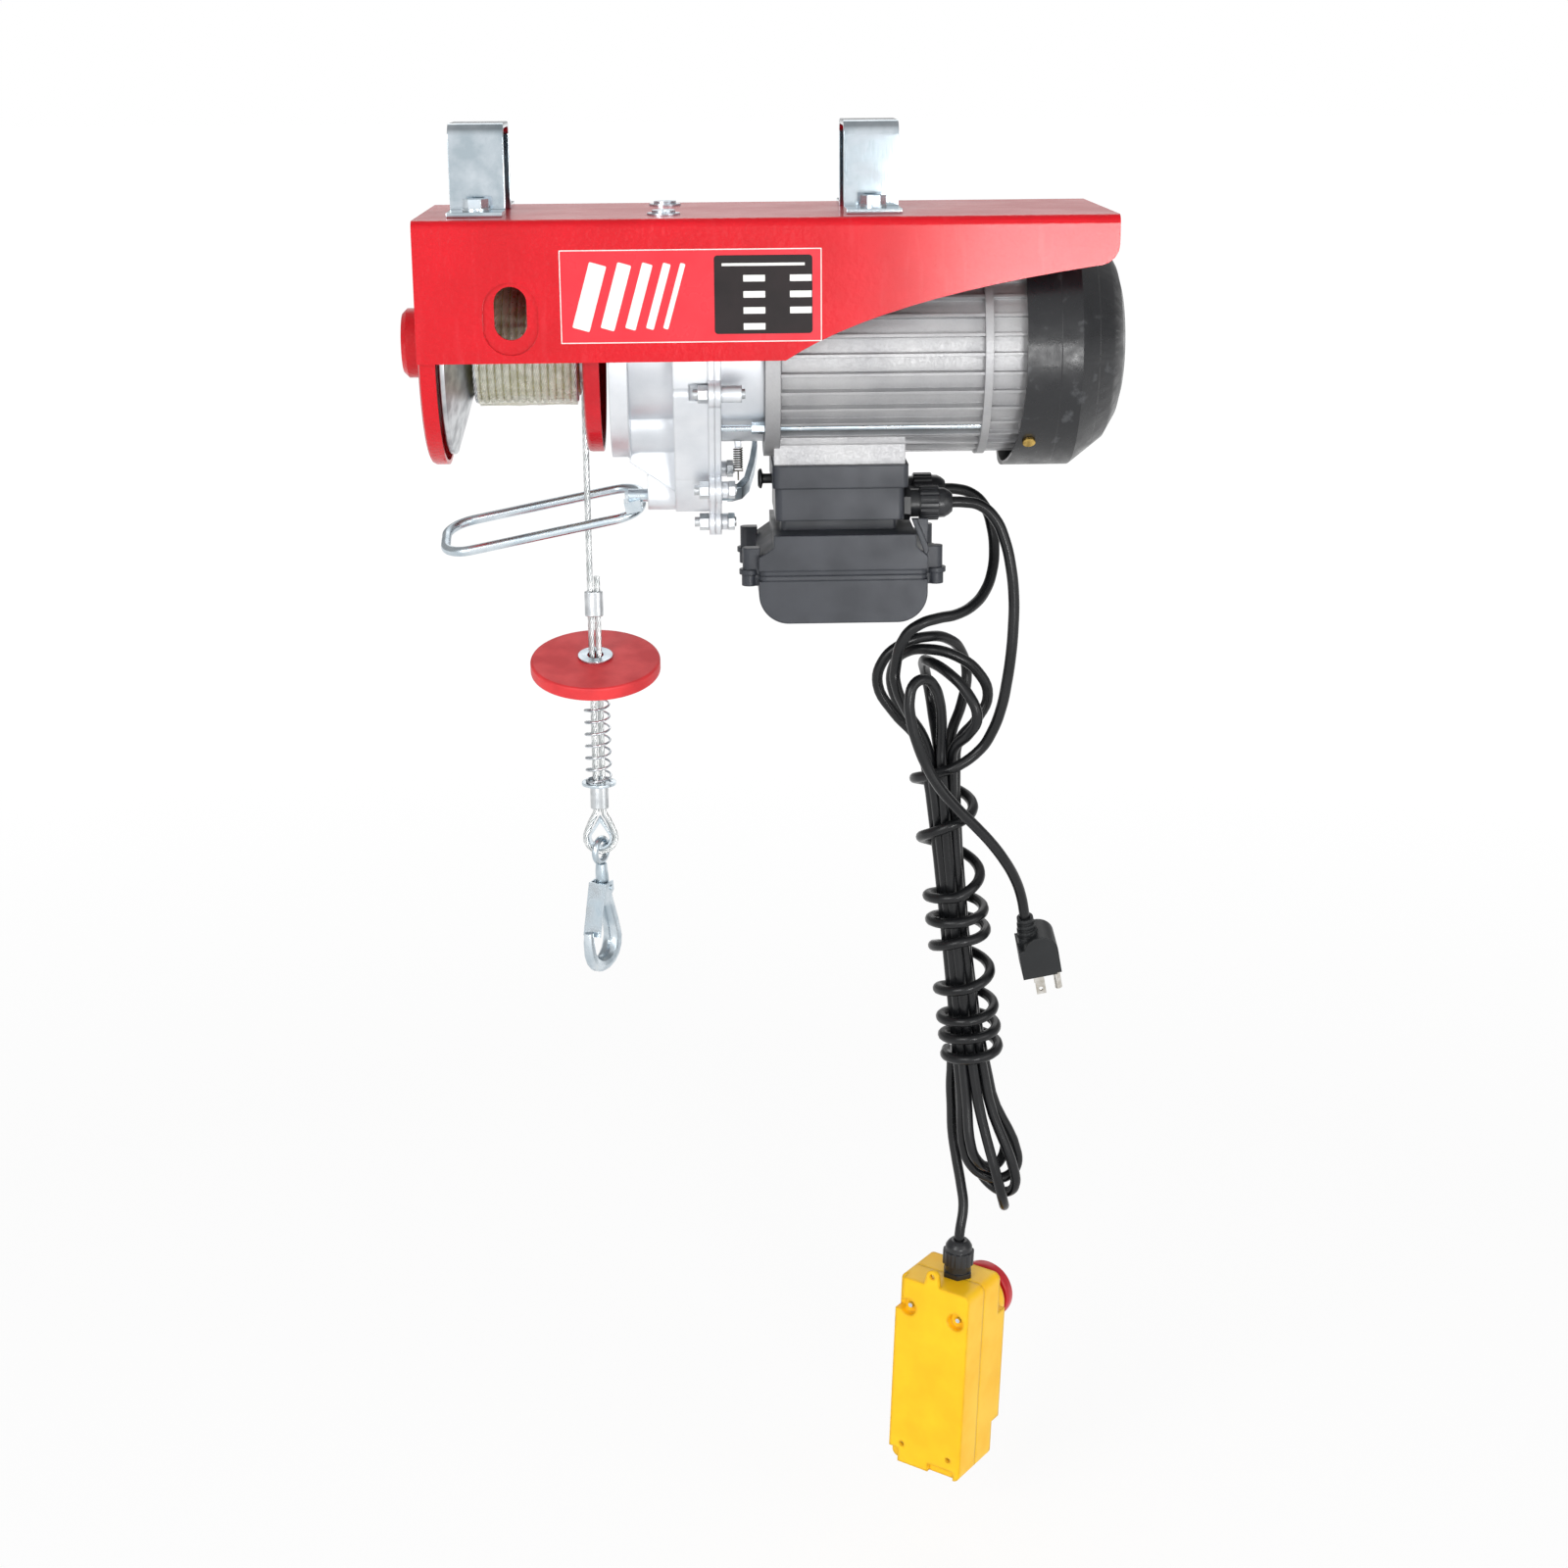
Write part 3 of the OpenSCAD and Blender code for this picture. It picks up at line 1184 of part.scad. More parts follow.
hank_body = [for (k = [0:hank_loops - 1]) each hank_loop(k)];
hank_end = hank_point(waist_r, 270, waist_top);
hank_path = concat([hank_body[0] + [0, 0, 2 * cord_r]], hank_body,
    [hank_end, hank_end + [0, 0, 2 * cord_r]]);
echo(hank_gap = least_gap(hank_path, 2 * cord_r, 5));

wrap_rings = 16;
wrap_count = len(wrap_levels) - 1;

// Height of the wraps after i rings, from one named level to the next
function wrap_z(i) = let (s = i / wrap_rings, k = min(floor(s), wrap_count - 1), f = s - k)
    wrap_levels[k] * (1 - f) + wrap_levels[k + 1] * f;
function wrap_point(i) = hank_point(wrap_r, wrap_azimuth - 360 * i / wrap_rings, wrap_z(i));
wrap_last = (wrap_count - 1) * wrap_rings + 5;
wrap_body = [for (i = [0:wrap_last]) wrap_point(i)];
wrap_in = unit(wrap_body[0] - wrap_body[1]);
wrap_out = unit(wrap_body[wrap_last] - wrap_body[wrap_last - 1]);
wrap_path = concat([wrap_body[0] + 2 * cord_r * wrap_in], wrap_body,
    [wrap_body[wrap_last] + 2 * cord_r * wrap_out]);
echo(wrap_gap = least_gap(wrap_path, 2 * cord_r, 6));

module power_lead() {
    color("black") tube(concat(power_route, [hank_path[0] + [0, 0, 6], hank_path[0]]), cord_r, 8);
}

module cord_hank() {
    color("black") tube(hank_path, cord_r, 6);
}

module plug_lead() {
    end = hank_path[len(hank_path) - 1];
    color("black") tube(concat([end, end + [0, 0, 6]], plug_route, [plug_end + 2.9 * plug_dir]), cord_r, 8);
}

module pendant_lead() {
    color("black") tube(concat(pendant_route, [wrap_path[0] + 6 * wrap_in, wrap_path[0]]), cord_r, 8);
}

module cord_wraps() {
    color("black") tube(wrap_path, cord_r, 6);
}

module pendant_drop() {
    end = wrap_path[len(wrap_path) - 1];
    color("black") tube(concat([end, end + 6 * wrap_out], drop_route,
        [for (h = [4, -5.5]) hand_place([hand_gland[0], hand_gland[1], hand_gland_l + h])]), cord_r, 8);
}

plug_end = plug_route[len(plug_route) - 1];
plug_dir = unit(plug_end - plug_route[len(plug_route) - 2]);
plug_tilt = acos(-plug_dir[2]);
plug_turn = atan2(plug_dir[1], plug_dir[0]);

// Puts children along the end of the plug lead, +Z pointing out of the plug and +X to the right
module at_plug() {
    translate(plug_end) rotate([0, 0, plug_turn]) rotate([0, 180 - plug_tilt, 0])
        rotate([0, 0, plug_turn + 180]) children();
}

module plug_body() {
    color("black") at_plug() difference() {
        union() {
            rotate_extrude($fn = round_n) polygon([[0, 0], [5.2, 0], [5.4, 2.6], [4.7, 2.6], [4.7, 4.4],
                [5.8, 4.4], [6, 7], [5.2, 7], [5.2, 8.8], [6.4, 8.8], [6.6, 11.4], [5.8, 11.4],
                [5.8, 13.2], [7, 13.2], [7.4, 20], [0, 20]]);
            translate([-8, -11, 19]) cube([22, 22, 22]);
            translate([6, 0, 22]) rotate([90, 0, 0]) cylinder(h = 22, r = 11, center = true, $fn = round_n);
            translate([-5, -11, 22]) cube([22, 22, 18]);
        }
        translate([0, 0, -1]) cylinder(h = 4, r = cord_r + 0.02, $fn = round_n);
        for (s = [-1, 1]) translate([-1, s * 6.35 - 0.8, 33]) cube([6.4, 1.6, 10]);
        translate([14, 0, 33]) cylinder(h = 10, r = 2.45, $fn = round_n);
    }
}

module plug_pins() {
    color("silver") at_plug() {
        for (s = [-1, 1]) difference() {
            translate([-0.9, s * 6.35 - 0.75, 34]) cube([6.2, 1.5, 23]);
            translate([2.2, s * 6.35, 53]) rotate([90, 0, 0])
                cylinder(h = 4, r = 1.5, center = true, $fn = round_n);
        }
        translate([14, 0, 34]) cylinder(h = 25, r = 2.4, $fn = round_n);
    }
}

// ---------- hand control ----------

// Own frame of the hand control: +Y is the button side, z = 0 its top
module in_hand() {
    translate([hand_x, 0, hand_top]) rotate([0, 0, -hand_turn]) rotate([0, hand_lean, 0]) children();
}

// The same frame for a point
function leaned(p) = [p[0] * cos(hand_lean) + p[2] * sin(hand_lean), p[1],
                      p[2] * cos(hand_lean) - p[0] * sin(hand_lean)];
function hand_place(p) = let (q = leaned(p), a = -hand_turn)
    [hand_x + q[0] * cos(a) - q[1] * sin(a), q[0] * sin(a) + q[1] * cos(a), hand_top + q[2]];

hand_r = 5;
hand_y = hand_d / 2;
lip_t = 0.1;
panel_y = hand_y + panel_t;
panel_top = -30;
panel_low = -113;
collar_z = -35;
collar_r = 20.5;
collar_y = panel_y + 13;
key_levels = [-68, -97];
screw_x = hand_w / 2 - 9.5;
screw_top = -21;
pocket_r = 6;
pocket_t = 5;

module hand_slice(y0, y1, shrink) {
    slab_y(y0, y1) translate([0, -hand_h / 2]) {
        square([hand_w - 2 * shrink - 2 * hand_r, hand_h - 2 * shrink], center = true);
        square([hand_w - 2 * shrink, hand_h - 2 * shrink - 2 * hand_r], center = true);
        for (x = [-1, 1]) for (z = [-1, 1]) translate([x * (hand_w / 2 - shrink - hand_r),
            z * (hand_h / 2 - shrink - hand_r)]) circle(r = hand_r, $fn = round_n);
    }
}

module along_y(x, z, y0, y1, r) {
    translate([x, y0, z]) rotate([-90, 0, 0]) cylinder(h = y1 - y0, r = r, $fn = round_n);
}

// The places of the four case screws
module at_screws() {
    for (x = [-screw_x, screw_x]) for (z = [screw_top, -hand_h + 14]) translate([x, 0, z]) children();
}

// Round hole in the top of the hand control for its gland
module gland_hole() {
    translate([hand_gland[0], hand_gland[1], -5]) cylinder(h = 8, r = 6 + seat_gap, $fn = round_n);
}

// The cut-away corner beside the left upper screw and the two finger notches at the lower edge
module corner_cuts(grow) {
    x0 = -hand_w / 2;
    y0 = -hand_y - 1;
    z0 = -hand_h - 1;
    block(x0 - 1, x0 + 5 + grow, y0, y0 + 8 + grow, -24 - grow, 1);
    block(x0 - 1, x0 + 7 + grow, y0, y0 + 6 + grow, z0, z0 + 11 + grow);
    block(3 - grow, -x0 - 5 + grow, y0, y0 + 4 + grow, z0, z0 + 7 + grow);
}

module handset_back() {
    lug_x0 = -1;
    color("gold") in_hand() difference() {
        union() {
            difference() {
                hand_slice(-hand_y, -lip_t / 2, 0);
                hand_slice(-hand_y + wall, 1, wall);
            }
            intersection() {
                hand_slice(-hand_y, -lip_t / 2, 0);
                union() {
                    at_screws() along_y(0, 0, -hand_y, -hand_y + pocket_t + wall, pocket_r + wall);
                    corner_cuts(wall);
                }
            }
            along_y(lug_x0, 6.5, -hand_y, -hand_y + 3, 4.5);
            slab_y(-hand_y, -hand_y + 3) polygon([[lug_x0 - 4.5, 6.5], [lug_x0 - 7, -8], [lug_x0 + 7, -8],
                [lug_x0 + 4.5, 6.5]]);
        }
        along_y(lug_x0, 6.5, -hand_y - 1, -hand_y + 4, 1.8);
        for (x = [-screw_x, screw_x]) along_y(x, screw_top, -hand_y - 1, -hand_y + pocket_t, pocket_r);
        at_screws() along_y(0, 0, -hand_y - 1, -hand_y + pocket_t + wall + 1, 1.6 + seat_gap);
        corner_cuts(0);
        gland_hole();
    }
}

module handset_front() {
    color("gold") in_hand() difference() {
        union() {
            hand_slice(lip_t / 2, hand_y, 0);
            slab_y(hand_y - 1, panel_y) translate([-hand_w / 2, panel_low])
                square([hand_w, panel_top - panel_low]);
            along_y(0, collar_z, hand_y - 1, collar_y, collar_r);
        }
        hand_slice(-1, hand_y - wall, wall);
        block(-hand_w / 2 + wall, hand_w / 2 - wall, 0, panel_y - wall, panel_low + wall, panel_top - wall);
        along_y(0, collar_z, -1, collar_y - wall, collar_r - wall - 3);
        along_y(0, collar_z, 0, collar_y + 1, 9 + rub);
        for (z = key_levels) along_y(0, z, 0, panel_y + 1, 11 + rub);
        gland_hole();
    }
}

module handset_gland() {
    color("black") in_hand() translate([hand_gland[0], hand_gland[1], 0]) gland(hand_gland_l);
}

// Turned shape about the middle of the button side at height z; its points are [radius, depth]
module knob(z, profile) {
    in_hand() translate([0, 0, z]) rotate([-90, 0, 0]) rotate_extrude($fn = fine) polygon(profile);
}

module stop_button() {
    y = collar_y + 4.5;
    color("red") knob(collar_z, [[0, 8], [9, 8], [9, y], [19.5, y], [20.5, y + 2.5], [20.3, y + 7.5],
        [17, y + 12], [10, y + 14], [0, y + 14.5]]);
}

module round_key(z) {
    y = panel_y - wall - rub;
    knob(z, [[0, y - 9], [12.5, y - 9], [12.5, y], [11, y], [11, panel_y + 4], [10, panel_y + 5],
        [0, panel_y + 5]]);
}

module up_button() {
    color("forestgreen") round_key(key_levels[0]);
}

module down_button() {
    color("black") round_key(key_levels[1]);
}

module handset_screws() {
    color("gray") in_hand() at_screws() along_y(0, 0, -hand_y + pocket_t - 2, hand_y - wall - 1, 1.6);
}

frame();
end_plate();
bracket_left();
bracket_right();
deck_bolts();
label_plate();
drum_barrel();
drum_cup();
rope_winding();
drum_shaft();
ball_bearings();
rope_fall();
rope_tail();
crimp_ferrules();
stop_washer();
stop_disc();
stop_spring();
lower_washer();
rope_eye();
thimble();
hook();
hook_latch();
limit_loop();
lever_shaft();
switch_arm();
return_spring();
limit_button();
gearbox_body();
gearbox_cover();
flange_bolts();
output_gear();
countershaft();
motor_housing();
stator();
rotor();
fan();
fan_cover();
tie_rods();
case_screws();
box_cap();
box_body();
box_lid();
capacitor();
cable_glands();
power_lead();
cord_hank();
plug_lead();
plug_body();
plug_pins();
pendant_lead();
cord_wraps();
pendant_drop();
handset_back();
handset_front();
handset_gland();
stop_button();
up_button();
down_button();
handset_screws();
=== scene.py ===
"""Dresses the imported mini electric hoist: finishes its solids and models its ropes, cords and print."""

import json
import math

import bpy
from mathutils import Matrix, Vector

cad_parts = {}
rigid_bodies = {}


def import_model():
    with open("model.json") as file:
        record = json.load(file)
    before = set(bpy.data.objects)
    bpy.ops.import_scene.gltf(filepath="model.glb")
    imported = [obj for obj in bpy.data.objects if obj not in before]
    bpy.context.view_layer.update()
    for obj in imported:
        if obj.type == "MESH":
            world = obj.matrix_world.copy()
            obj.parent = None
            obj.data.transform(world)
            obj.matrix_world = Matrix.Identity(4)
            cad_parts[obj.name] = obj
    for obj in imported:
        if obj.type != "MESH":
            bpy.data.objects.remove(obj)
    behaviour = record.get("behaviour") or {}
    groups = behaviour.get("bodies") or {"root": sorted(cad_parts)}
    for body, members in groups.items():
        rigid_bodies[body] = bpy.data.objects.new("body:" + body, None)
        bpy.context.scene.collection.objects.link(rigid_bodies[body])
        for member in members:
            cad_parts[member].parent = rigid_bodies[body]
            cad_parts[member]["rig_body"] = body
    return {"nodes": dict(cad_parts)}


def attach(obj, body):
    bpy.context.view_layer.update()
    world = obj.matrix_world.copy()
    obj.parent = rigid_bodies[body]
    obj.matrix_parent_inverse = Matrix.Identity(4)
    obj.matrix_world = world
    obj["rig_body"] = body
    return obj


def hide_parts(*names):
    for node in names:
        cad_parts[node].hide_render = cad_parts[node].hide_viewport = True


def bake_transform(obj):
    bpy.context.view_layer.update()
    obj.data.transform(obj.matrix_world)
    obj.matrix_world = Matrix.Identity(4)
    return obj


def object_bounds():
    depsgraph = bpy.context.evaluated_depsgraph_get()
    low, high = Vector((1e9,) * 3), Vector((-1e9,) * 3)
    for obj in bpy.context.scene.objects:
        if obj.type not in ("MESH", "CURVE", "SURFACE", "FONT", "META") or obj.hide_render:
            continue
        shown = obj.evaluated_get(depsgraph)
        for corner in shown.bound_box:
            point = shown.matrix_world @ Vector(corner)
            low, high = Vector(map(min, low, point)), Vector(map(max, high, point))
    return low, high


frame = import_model()
nodes = frame["nodes"]
cad_box = [list(corner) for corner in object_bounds()]

MM = 0.001  # sizes below are in millimetres unless a name or comment says otherwise


# ---------- small helpers ----------


def deselect():
    bpy.ops.object.select_all(action="DESELECT")


def pick(obj):
    """Makes obj the one selected and active object."""
    deselect()
    obj.select_set(True)
    bpy.context.view_layer.objects.active = obj


def point(x, y, z):
    """A point given in millimetres."""
    return Vector((x, y, z)) * MM


def modify(obj, kind, **settings):
    """Adds one modifier with its settings and applies it."""
    modifier = obj.modifiers.new(kind.title(), kind)
    for key, value in settings.items():
        setattr(modifier, key, value)
    pick(obj)
    bpy.ops.object.modifier_apply(modifier=modifier.name)


def soften(obj, width, angle=30):
    """Rounds edges sharper than an angle in degrees, shades the rest smooth and keeps flats flat."""
    if width:
        modify(obj, "BEVEL", width=width * MM, segments=2, limit_method="ANGLE",
               angle_limit=math.radians(angle), use_clamp_overlap=True)
    pick(obj)
    bpy.ops.object.shade_smooth_by_angle(angle=math.radians(angle))
    modify(obj, "WEIGHTED_NORMAL", keep_sharp=True)


def paint(obj, finish):
    obj.data.materials.clear()
    obj.data.materials.append(finish)


def finished(obj, body, slot, *replaced):
    """Puts a finished piece on its body and hides the solids that it stands for; the slot is not used."""
    pick(obj)
    bpy.ops.object.transform_apply(location=True, rotation=True, scale=True)
    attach(obj, body)
    if replaced:
        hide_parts(*replaced)
    return obj


# ---------- materials ----------


def colour(text):
    """A linear colour from an sRGB hex text."""
    values = [int(text[i:i + 2], 16) / 255 for i in (1, 3, 5)]
    return (*[v / 12.92 if v <= 0.04045 else ((v + 0.055) / 1.055) ** 2.4 for v in values], 1.0)


def add(tree, kind, inputs=(), **settings):
    """Adds one node; each input takes a value, an output, or a node whose first output is used."""
    made = tree.nodes.new("ShaderNode" + kind)
    for key, value in settings.items():
        setattr(made, key, value)
    for key, value in dict(inputs).items():
        if isinstance(value, bpy.types.Node):
            value = value.outputs[0]
        if isinstance(value, bpy.types.NodeSocket):
            tree.links.new(value, made.inputs[key])
        else:
            made.inputs[key].default_value = value
    return made


def new_material(name, **sockets):
    """A material whose shader has the given constant values; returns it, its tree and shader."""
    material = bpy.data.materials.new(name)
    material.use_nodes = True
    shader = material.node_tree.nodes["Principled BSDF"]
    for key, value in sockets.items():
        shader.inputs[key.replace("_", " ")].default_value = value
    return material, material.node_tree, shader


def wire(tree, shader, base, rough, normal):
    """Leads the colour, roughness and bump to the shader."""
    for key, source in (("Base Color", base), ("Roughness", rough), ("Normal", normal)):
        tree.links.new(source, shader.inputs[key])


def per(size):
    """Noise scale for grains of a size in millimetres."""
    return 1 / (size * MM)


def powder_coat(name, base, deep, pale):
    """Gloss powder coat on sheet steel: a slight mottle, faint upright rub marks and an orange peel.

    Real peel is 1 to 2 mm across; it is drawn at about 3 mm, so that it shows.
    """
    material, tree, shader = new_material(name, IOR=1.5, Specular_IOR_Level=0.1,
                                          Coat_Weight=0.5, Coat_Roughness=0.15)
    place = add(tree, "TexCoord").outputs["Object"]
    peel = add(tree, "TexNoise", {"Vector": place, "Scale": per(3.2), "Detail": 2.0})
    mottle = add(tree, "TexNoise", {"Vector": place, "Scale": per(38), "Detail": 5.0})
    upright = add(tree, "Mapping", {"Vector": place, "Scale": (1, 1, 0.12)})
    streak = add(tree, "TexNoise", {"Vector": upright, "Scale": per(7), "Detail": 3.0})
    share = add(tree, "MapRange", {"Value": mottle, "From Min": 0.35, "From Max": 0.65})
    tone = add(tree, "Mix", {0: share, 6: colour(base), 7: colour(deep)}, data_type="RGBA").outputs[2]
    rubbed = add(tree, "MapRange", {"Value": streak, "From Min": 0.6, "From Max": 0.8, "To Max": 0.07})
    wire(tree, shader,
         add(tree, "Mix", {0: rubbed, 6: tone, 7: colour(pale)}, data_type="RGBA").outputs[2],
         add(tree, "MapRange", {"Value": mottle, "From Min": 0.3, "From Max": 0.7,
                                "To Min": 0.3, "To Max": 0.42}).outputs[0],
         add(tree, "Bump", {"Height": peel, "Distance": 0.8 * MM, "Strength": 0.9}).outputs[0])
    return material


def plated_metal(name, base, dull, rough, cloud_size=14):
    """Plated or drawn metal: cloudy gloss between two roughnesses and fine upright scratches."""
    material, tree, shader = new_material(name, Metallic=1.0)
    place = add(tree, "TexCoord").outputs["Object"]
    cloud = add(tree, "TexNoise", {"Vector": place, "Scale": per(cloud_size), "Detail": 4.0})
    upright = add(tree, "Mapping", {"Vector": place, "Scale": (1, 1, 0.08)})
    scratch = add(tree, "TexNoise", {"Vector": upright, "Scale": per(0.8)})
    share = add(tree, "MapRange", {"Value": cloud, "From Min": 0.35, "From Max": 0.65})
    wire(tree, shader,
         add(tree, "Mix", {0: share, 6: colour(base), 7: colour(dull)}, data_type="RGBA").outputs[2],
         add(tree, "MapRange", {"Value": cloud, "From Min": 0.35, "From Max": 0.65,
                                "To Min": rough[0], "To Max": rough[1]}).outputs[0],
         add(tree, "Bump", {"Height": scratch, "Distance": 0.03 * MM, "Strength": 0.4}).outputs[0])
    return material


def cast_metal(name, base, dull, grain, depth, rough, fillet):
    """Blasted die-cast aluminium: matte grain, soft clouds where the blast was uneven, cast fillets."""
    material, tree, shader = new_material(name, Metallic=0.75)
    place = add(tree, "TexCoord").outputs["Object"]
    skin = add(tree, "TexNoise", {"Vector": place, "Scale": per(grain), "Detail": 3.0})
    cloud = add(tree, "TexNoise", {"Vector": place, "Scale": per(26), "Detail": 4.0})
    share = add(tree, "MapRange", {"Value": cloud, "From Min": 0.38, "From Max": 0.66})
    wire(tree, shader,
         add(tree, "Mix", {0: share, 6: colour(base), 7: colour(dull)}, data_type="RGBA").outputs[2],
         add(tree, "MapRange", {"Value": skin, "From Min": 0.35, "From Max": 0.65,
                                "To Min": rough - 0.07, "To Max": rough + 0.08}).outputs[0],
         add(tree, "Bump", {"Height": skin, "Distance": depth * MM, "Strength": 0.6,
                            "Normal": add(tree, "Bevel", {"Radius": fillet * MM})}).outputs[0])
    return material


def moulded(name, base, dull, rough, grain=0.7, depth=0.04, specular=0.5, fillet=0.2):
    """Moulded plastic or rubber: a fine spark-eroded grain, slightly uneven gloss and soft fillets."""
    material, tree, shader = new_material(name, IOR=1.5, Specular_IOR_Level=specular)
    place = add(tree, "TexCoord").outputs["Object"]
    skin = add(tree, "TexNoise", {"Vector": place, "Scale": per(grain)})
    cloud = add(tree, "TexNoise", {"Vector": place, "Scale": per(22), "Detail": 4.0})
    share = add(tree, "MapRange", {"Value": cloud, "From Min": 0.35, "From Max": 0.65})
    wire(tree, shader,
         add(tree, "Mix", {0: share, 6: colour(base), 7: colour(dull)}, data_type="RGBA").outputs[2],
         add(tree, "MapRange", {"Value": cloud, "From Min": 0.35, "From Max": 0.65,
                                "To Min": rough - 0.05, "To Max": rough + 0.07}).outputs[0],
         add(tree, "Bump", {"Height": skin, "Distance": depth * MM, "Strength": 0.5,
                            "Normal": add(tree, "Bevel", {"Radius": fillet * MM})}).outputs[0])
    return material


LEDGE_W = 0.6


def scuffed_black(name, base, scuff, steps):
    """Satin black moulded cover: soft gloss, pale dusty scuffs and a low ledge at each step along X."""
    material, tree, shader = new_material(name, IOR=1.5)
    place = add(tree, "TexCoord").outputs["Object"]
    across = add(tree, "Mapping", {"Vector": place, "Scale": (1, 0.35, 1)})
    dust = add(tree, "TexNoise", {"Vector": across, "Scale": per(9), "Detail": 6.0})
    height = add(tree, "TexNoise", {"Vector": place, "Scale": per(2.5), "Detail": 1.0}).outputs[0]
    along = add(tree, "SeparateXYZ", {0: place}).outputs["X"]
    for x in steps:
        ledge = add(tree, "MapRange", {"Value": along, "From Min": (x - LEDGE_W / 2) * MM,
                                       "From Max": (x + LEDGE_W / 2) * MM, "To Min": 6.0, "To Max": 0.0})
        height = add(tree, "Math", {0: height, 1: ledge}, operation="ADD").outputs[0]
    share = add(tree, "MapRange", {"Value": dust, "From Min": 0.62, "From Max": 0.8, "To Max": 0.35})
    wire(tree, shader,
         add(tree, "Mix", {0: share, 6: colour(base), 7: colour(scuff)}, data_type="RGBA").outputs[2],
         add(tree, "MapRange", {"Value": dust, "From Min": 0.35, "From Max": 0.65,
                                "To Min": 0.24, "To Max": 0.4}).outputs[0],
         add(tree, "Bump", {"Height": height, "Distance": 0.05 * MM, "Strength": 0.8}).outputs[0])
    return material


def oiled_film(name, clear, creased, alpha):
    """Oily wrapping film stuck to the rope: a thin yellowish gloss skin with creases along the drum."""
    material, tree, shader = new_material(name, IOR=1.45, Coat_Weight=0.6, Coat_Roughness=0.12,
                                          Alpha=alpha)
    place = add(tree, "TexCoord").outputs["Object"]
    along = add(tree, "Mapping", {"Vector": place, "Scale": (0.5, 1, 1)})
    crease = add(tree, "TexNoise", {"Vector": along, "Scale": per(5), "Detail": 4.0})
    share = add(tree, "MapRange", {"Value": crease, "From Min": 0.4, "From Max": 0.6})
    wire(tree, shader,
         add(tree, "Mix", {0: share, 6: colour(clear), 7: colour(creased)}, data_type="RGBA").outputs[2],
         add(tree, "MapRange", {"Value": crease, "From Min": 0.35, "From Max": 0.65,
                                "To Min": 0.18, "To Max": 0.42}).outputs[0],
         add(tree, "Bump", {"Height": crease, "Distance": 0.5 * MM, "Strength": 0.7}).outputs[0])
    return material


# Painted sheet and plated steel
RED_COAT = powder_coat("red_powder_coat", "#D60B1E", "#CB0819", "#F4727A")
DRUM_RED = powder_coat("red_drum_paint", "#D41A28", "#B5101D", "#E8676E")
ZINC = plated_metal("zinc_plated_steel", "#D9E2E8", "#B2C0C9", (0.2, 0.4))
STRAP_ZINC = plated_metal("zinc_plated_strip", "#D0D9E0", "#B0BDC5", (0.08, 0.14))
DULL_ZINC = plated_metal("dull_zinc_die_casting", "#D3D6D8", "#B4B8BB", (0.3, 0.45), 8)
SPRING_STEEL = plated_metal("zinc_plated_spring_wire", "#E4E8EC", "#9CA4AB", (0.15, 0.3), 6)
GEAR_STEEL = plated_metal("ground_gear_steel", "#A9AAAC", "#8B8C8F", (0.25, 0.4), 10)
DARK_SPRING = plated_metal("oiled_spring_wire", "#77746C", "#504D47", (0.25, 0.4), 3)
PIN_STEEL = plated_metal("nickel_plated_brass", "#E4E2DE", "#BDB8AE", (0.14, 0.26), 6)
BRASS = plated_metal("passivated_brass", "#D8B566", "#A08445", (0.22, 0.38), 4)
COPPER = plated_metal("enamelled_copper", "#B8673A", "#8A4526", (0.25, 0.4), 3)
ROPE_WIRE = plated_metal("galvanised_rope_wire", "#E8EAEA", "#BEC2C2", (0.25, 0.42), 5)

# Castings
GEARBOX_METAL = cast_metal("bead_blasted_die_casting", "#E4E7EB", "#D6DADF", 0.8, 0.06, 0.4, 1.8)
MOTOR_METAL = cast_metal("grey_cast_motor_case", "#B4B4B5", "#A6A6A8", 1.3, 0.14, 0.5, 0.6)

# Plastics and rubber
COVER_BLACK = scuffed_black("satin_black_fan_cover", "#1B1C1F", "#7C7E82", (220.8, 244))
BOX_GREY = moulded("charcoal_glass_filled_nylon", "#34373E", "#2D3036", 0.36, 0.7, 0.04, 0.4, 1.4)
GLAND_BLACK = moulded("black_nylon_gland", "#232427", "#1B1C1E", 0.34)
CORD_BLACK = moulded("black_pvc_sheath", "#0F1012", "#17181A", 0.28, 4.0, 0.02, 0.35)
PLUG_BLACK = moulded("black_moulded_pvc", "#1E2022", "#181A1C", 0.42, 0.7, 0.04, 0.4, 1.6)
YELLOW_SHELL = moulded("yellow_abs", "#FFCB12", "#FDC00C", 0.36, 1.4, 0.02, 0.35, 3.5)
RED_KEY = moulded("red_abs", "#CF1A28", "#B51320", 0.3, 1.0, 0.02)
GREEN_KEY = moulded("green_abs", "#1F8A4C", "#187640", 0.3, 1.0, 0.02)
DISC_RED = moulded("red_painted_stop_disc", "#E43236", "#CE2A30", 0.5, 1.6, 0.08, 0.5)

# Film and print
FILM_CORE = oiled_film("oiled_film_between_turns", "#C9C07C", "#8E8C76", 1.0)
FILM_SCRAP = oiled_film("oiled_film_scrap", "#EDEBCB", "#CFCB9A", 0.32)
LABEL_WHITE = moulded("white_vinyl_print", "#F6F5F2", "#EAE8E4", 0.32, 1.0, 0.01, 0.2)
LABEL_RED = moulded("red_vinyl_print", "#E93A45", "#E4323E", 0.3, 1.0, 0.01, 0.2)
LABEL_BLACK = moulded("black_vinyl_print", "#241F20", "#2E2829", 0.4, 1.0, 0.01, 0.15)


# ---------- camera, light and floor ----------

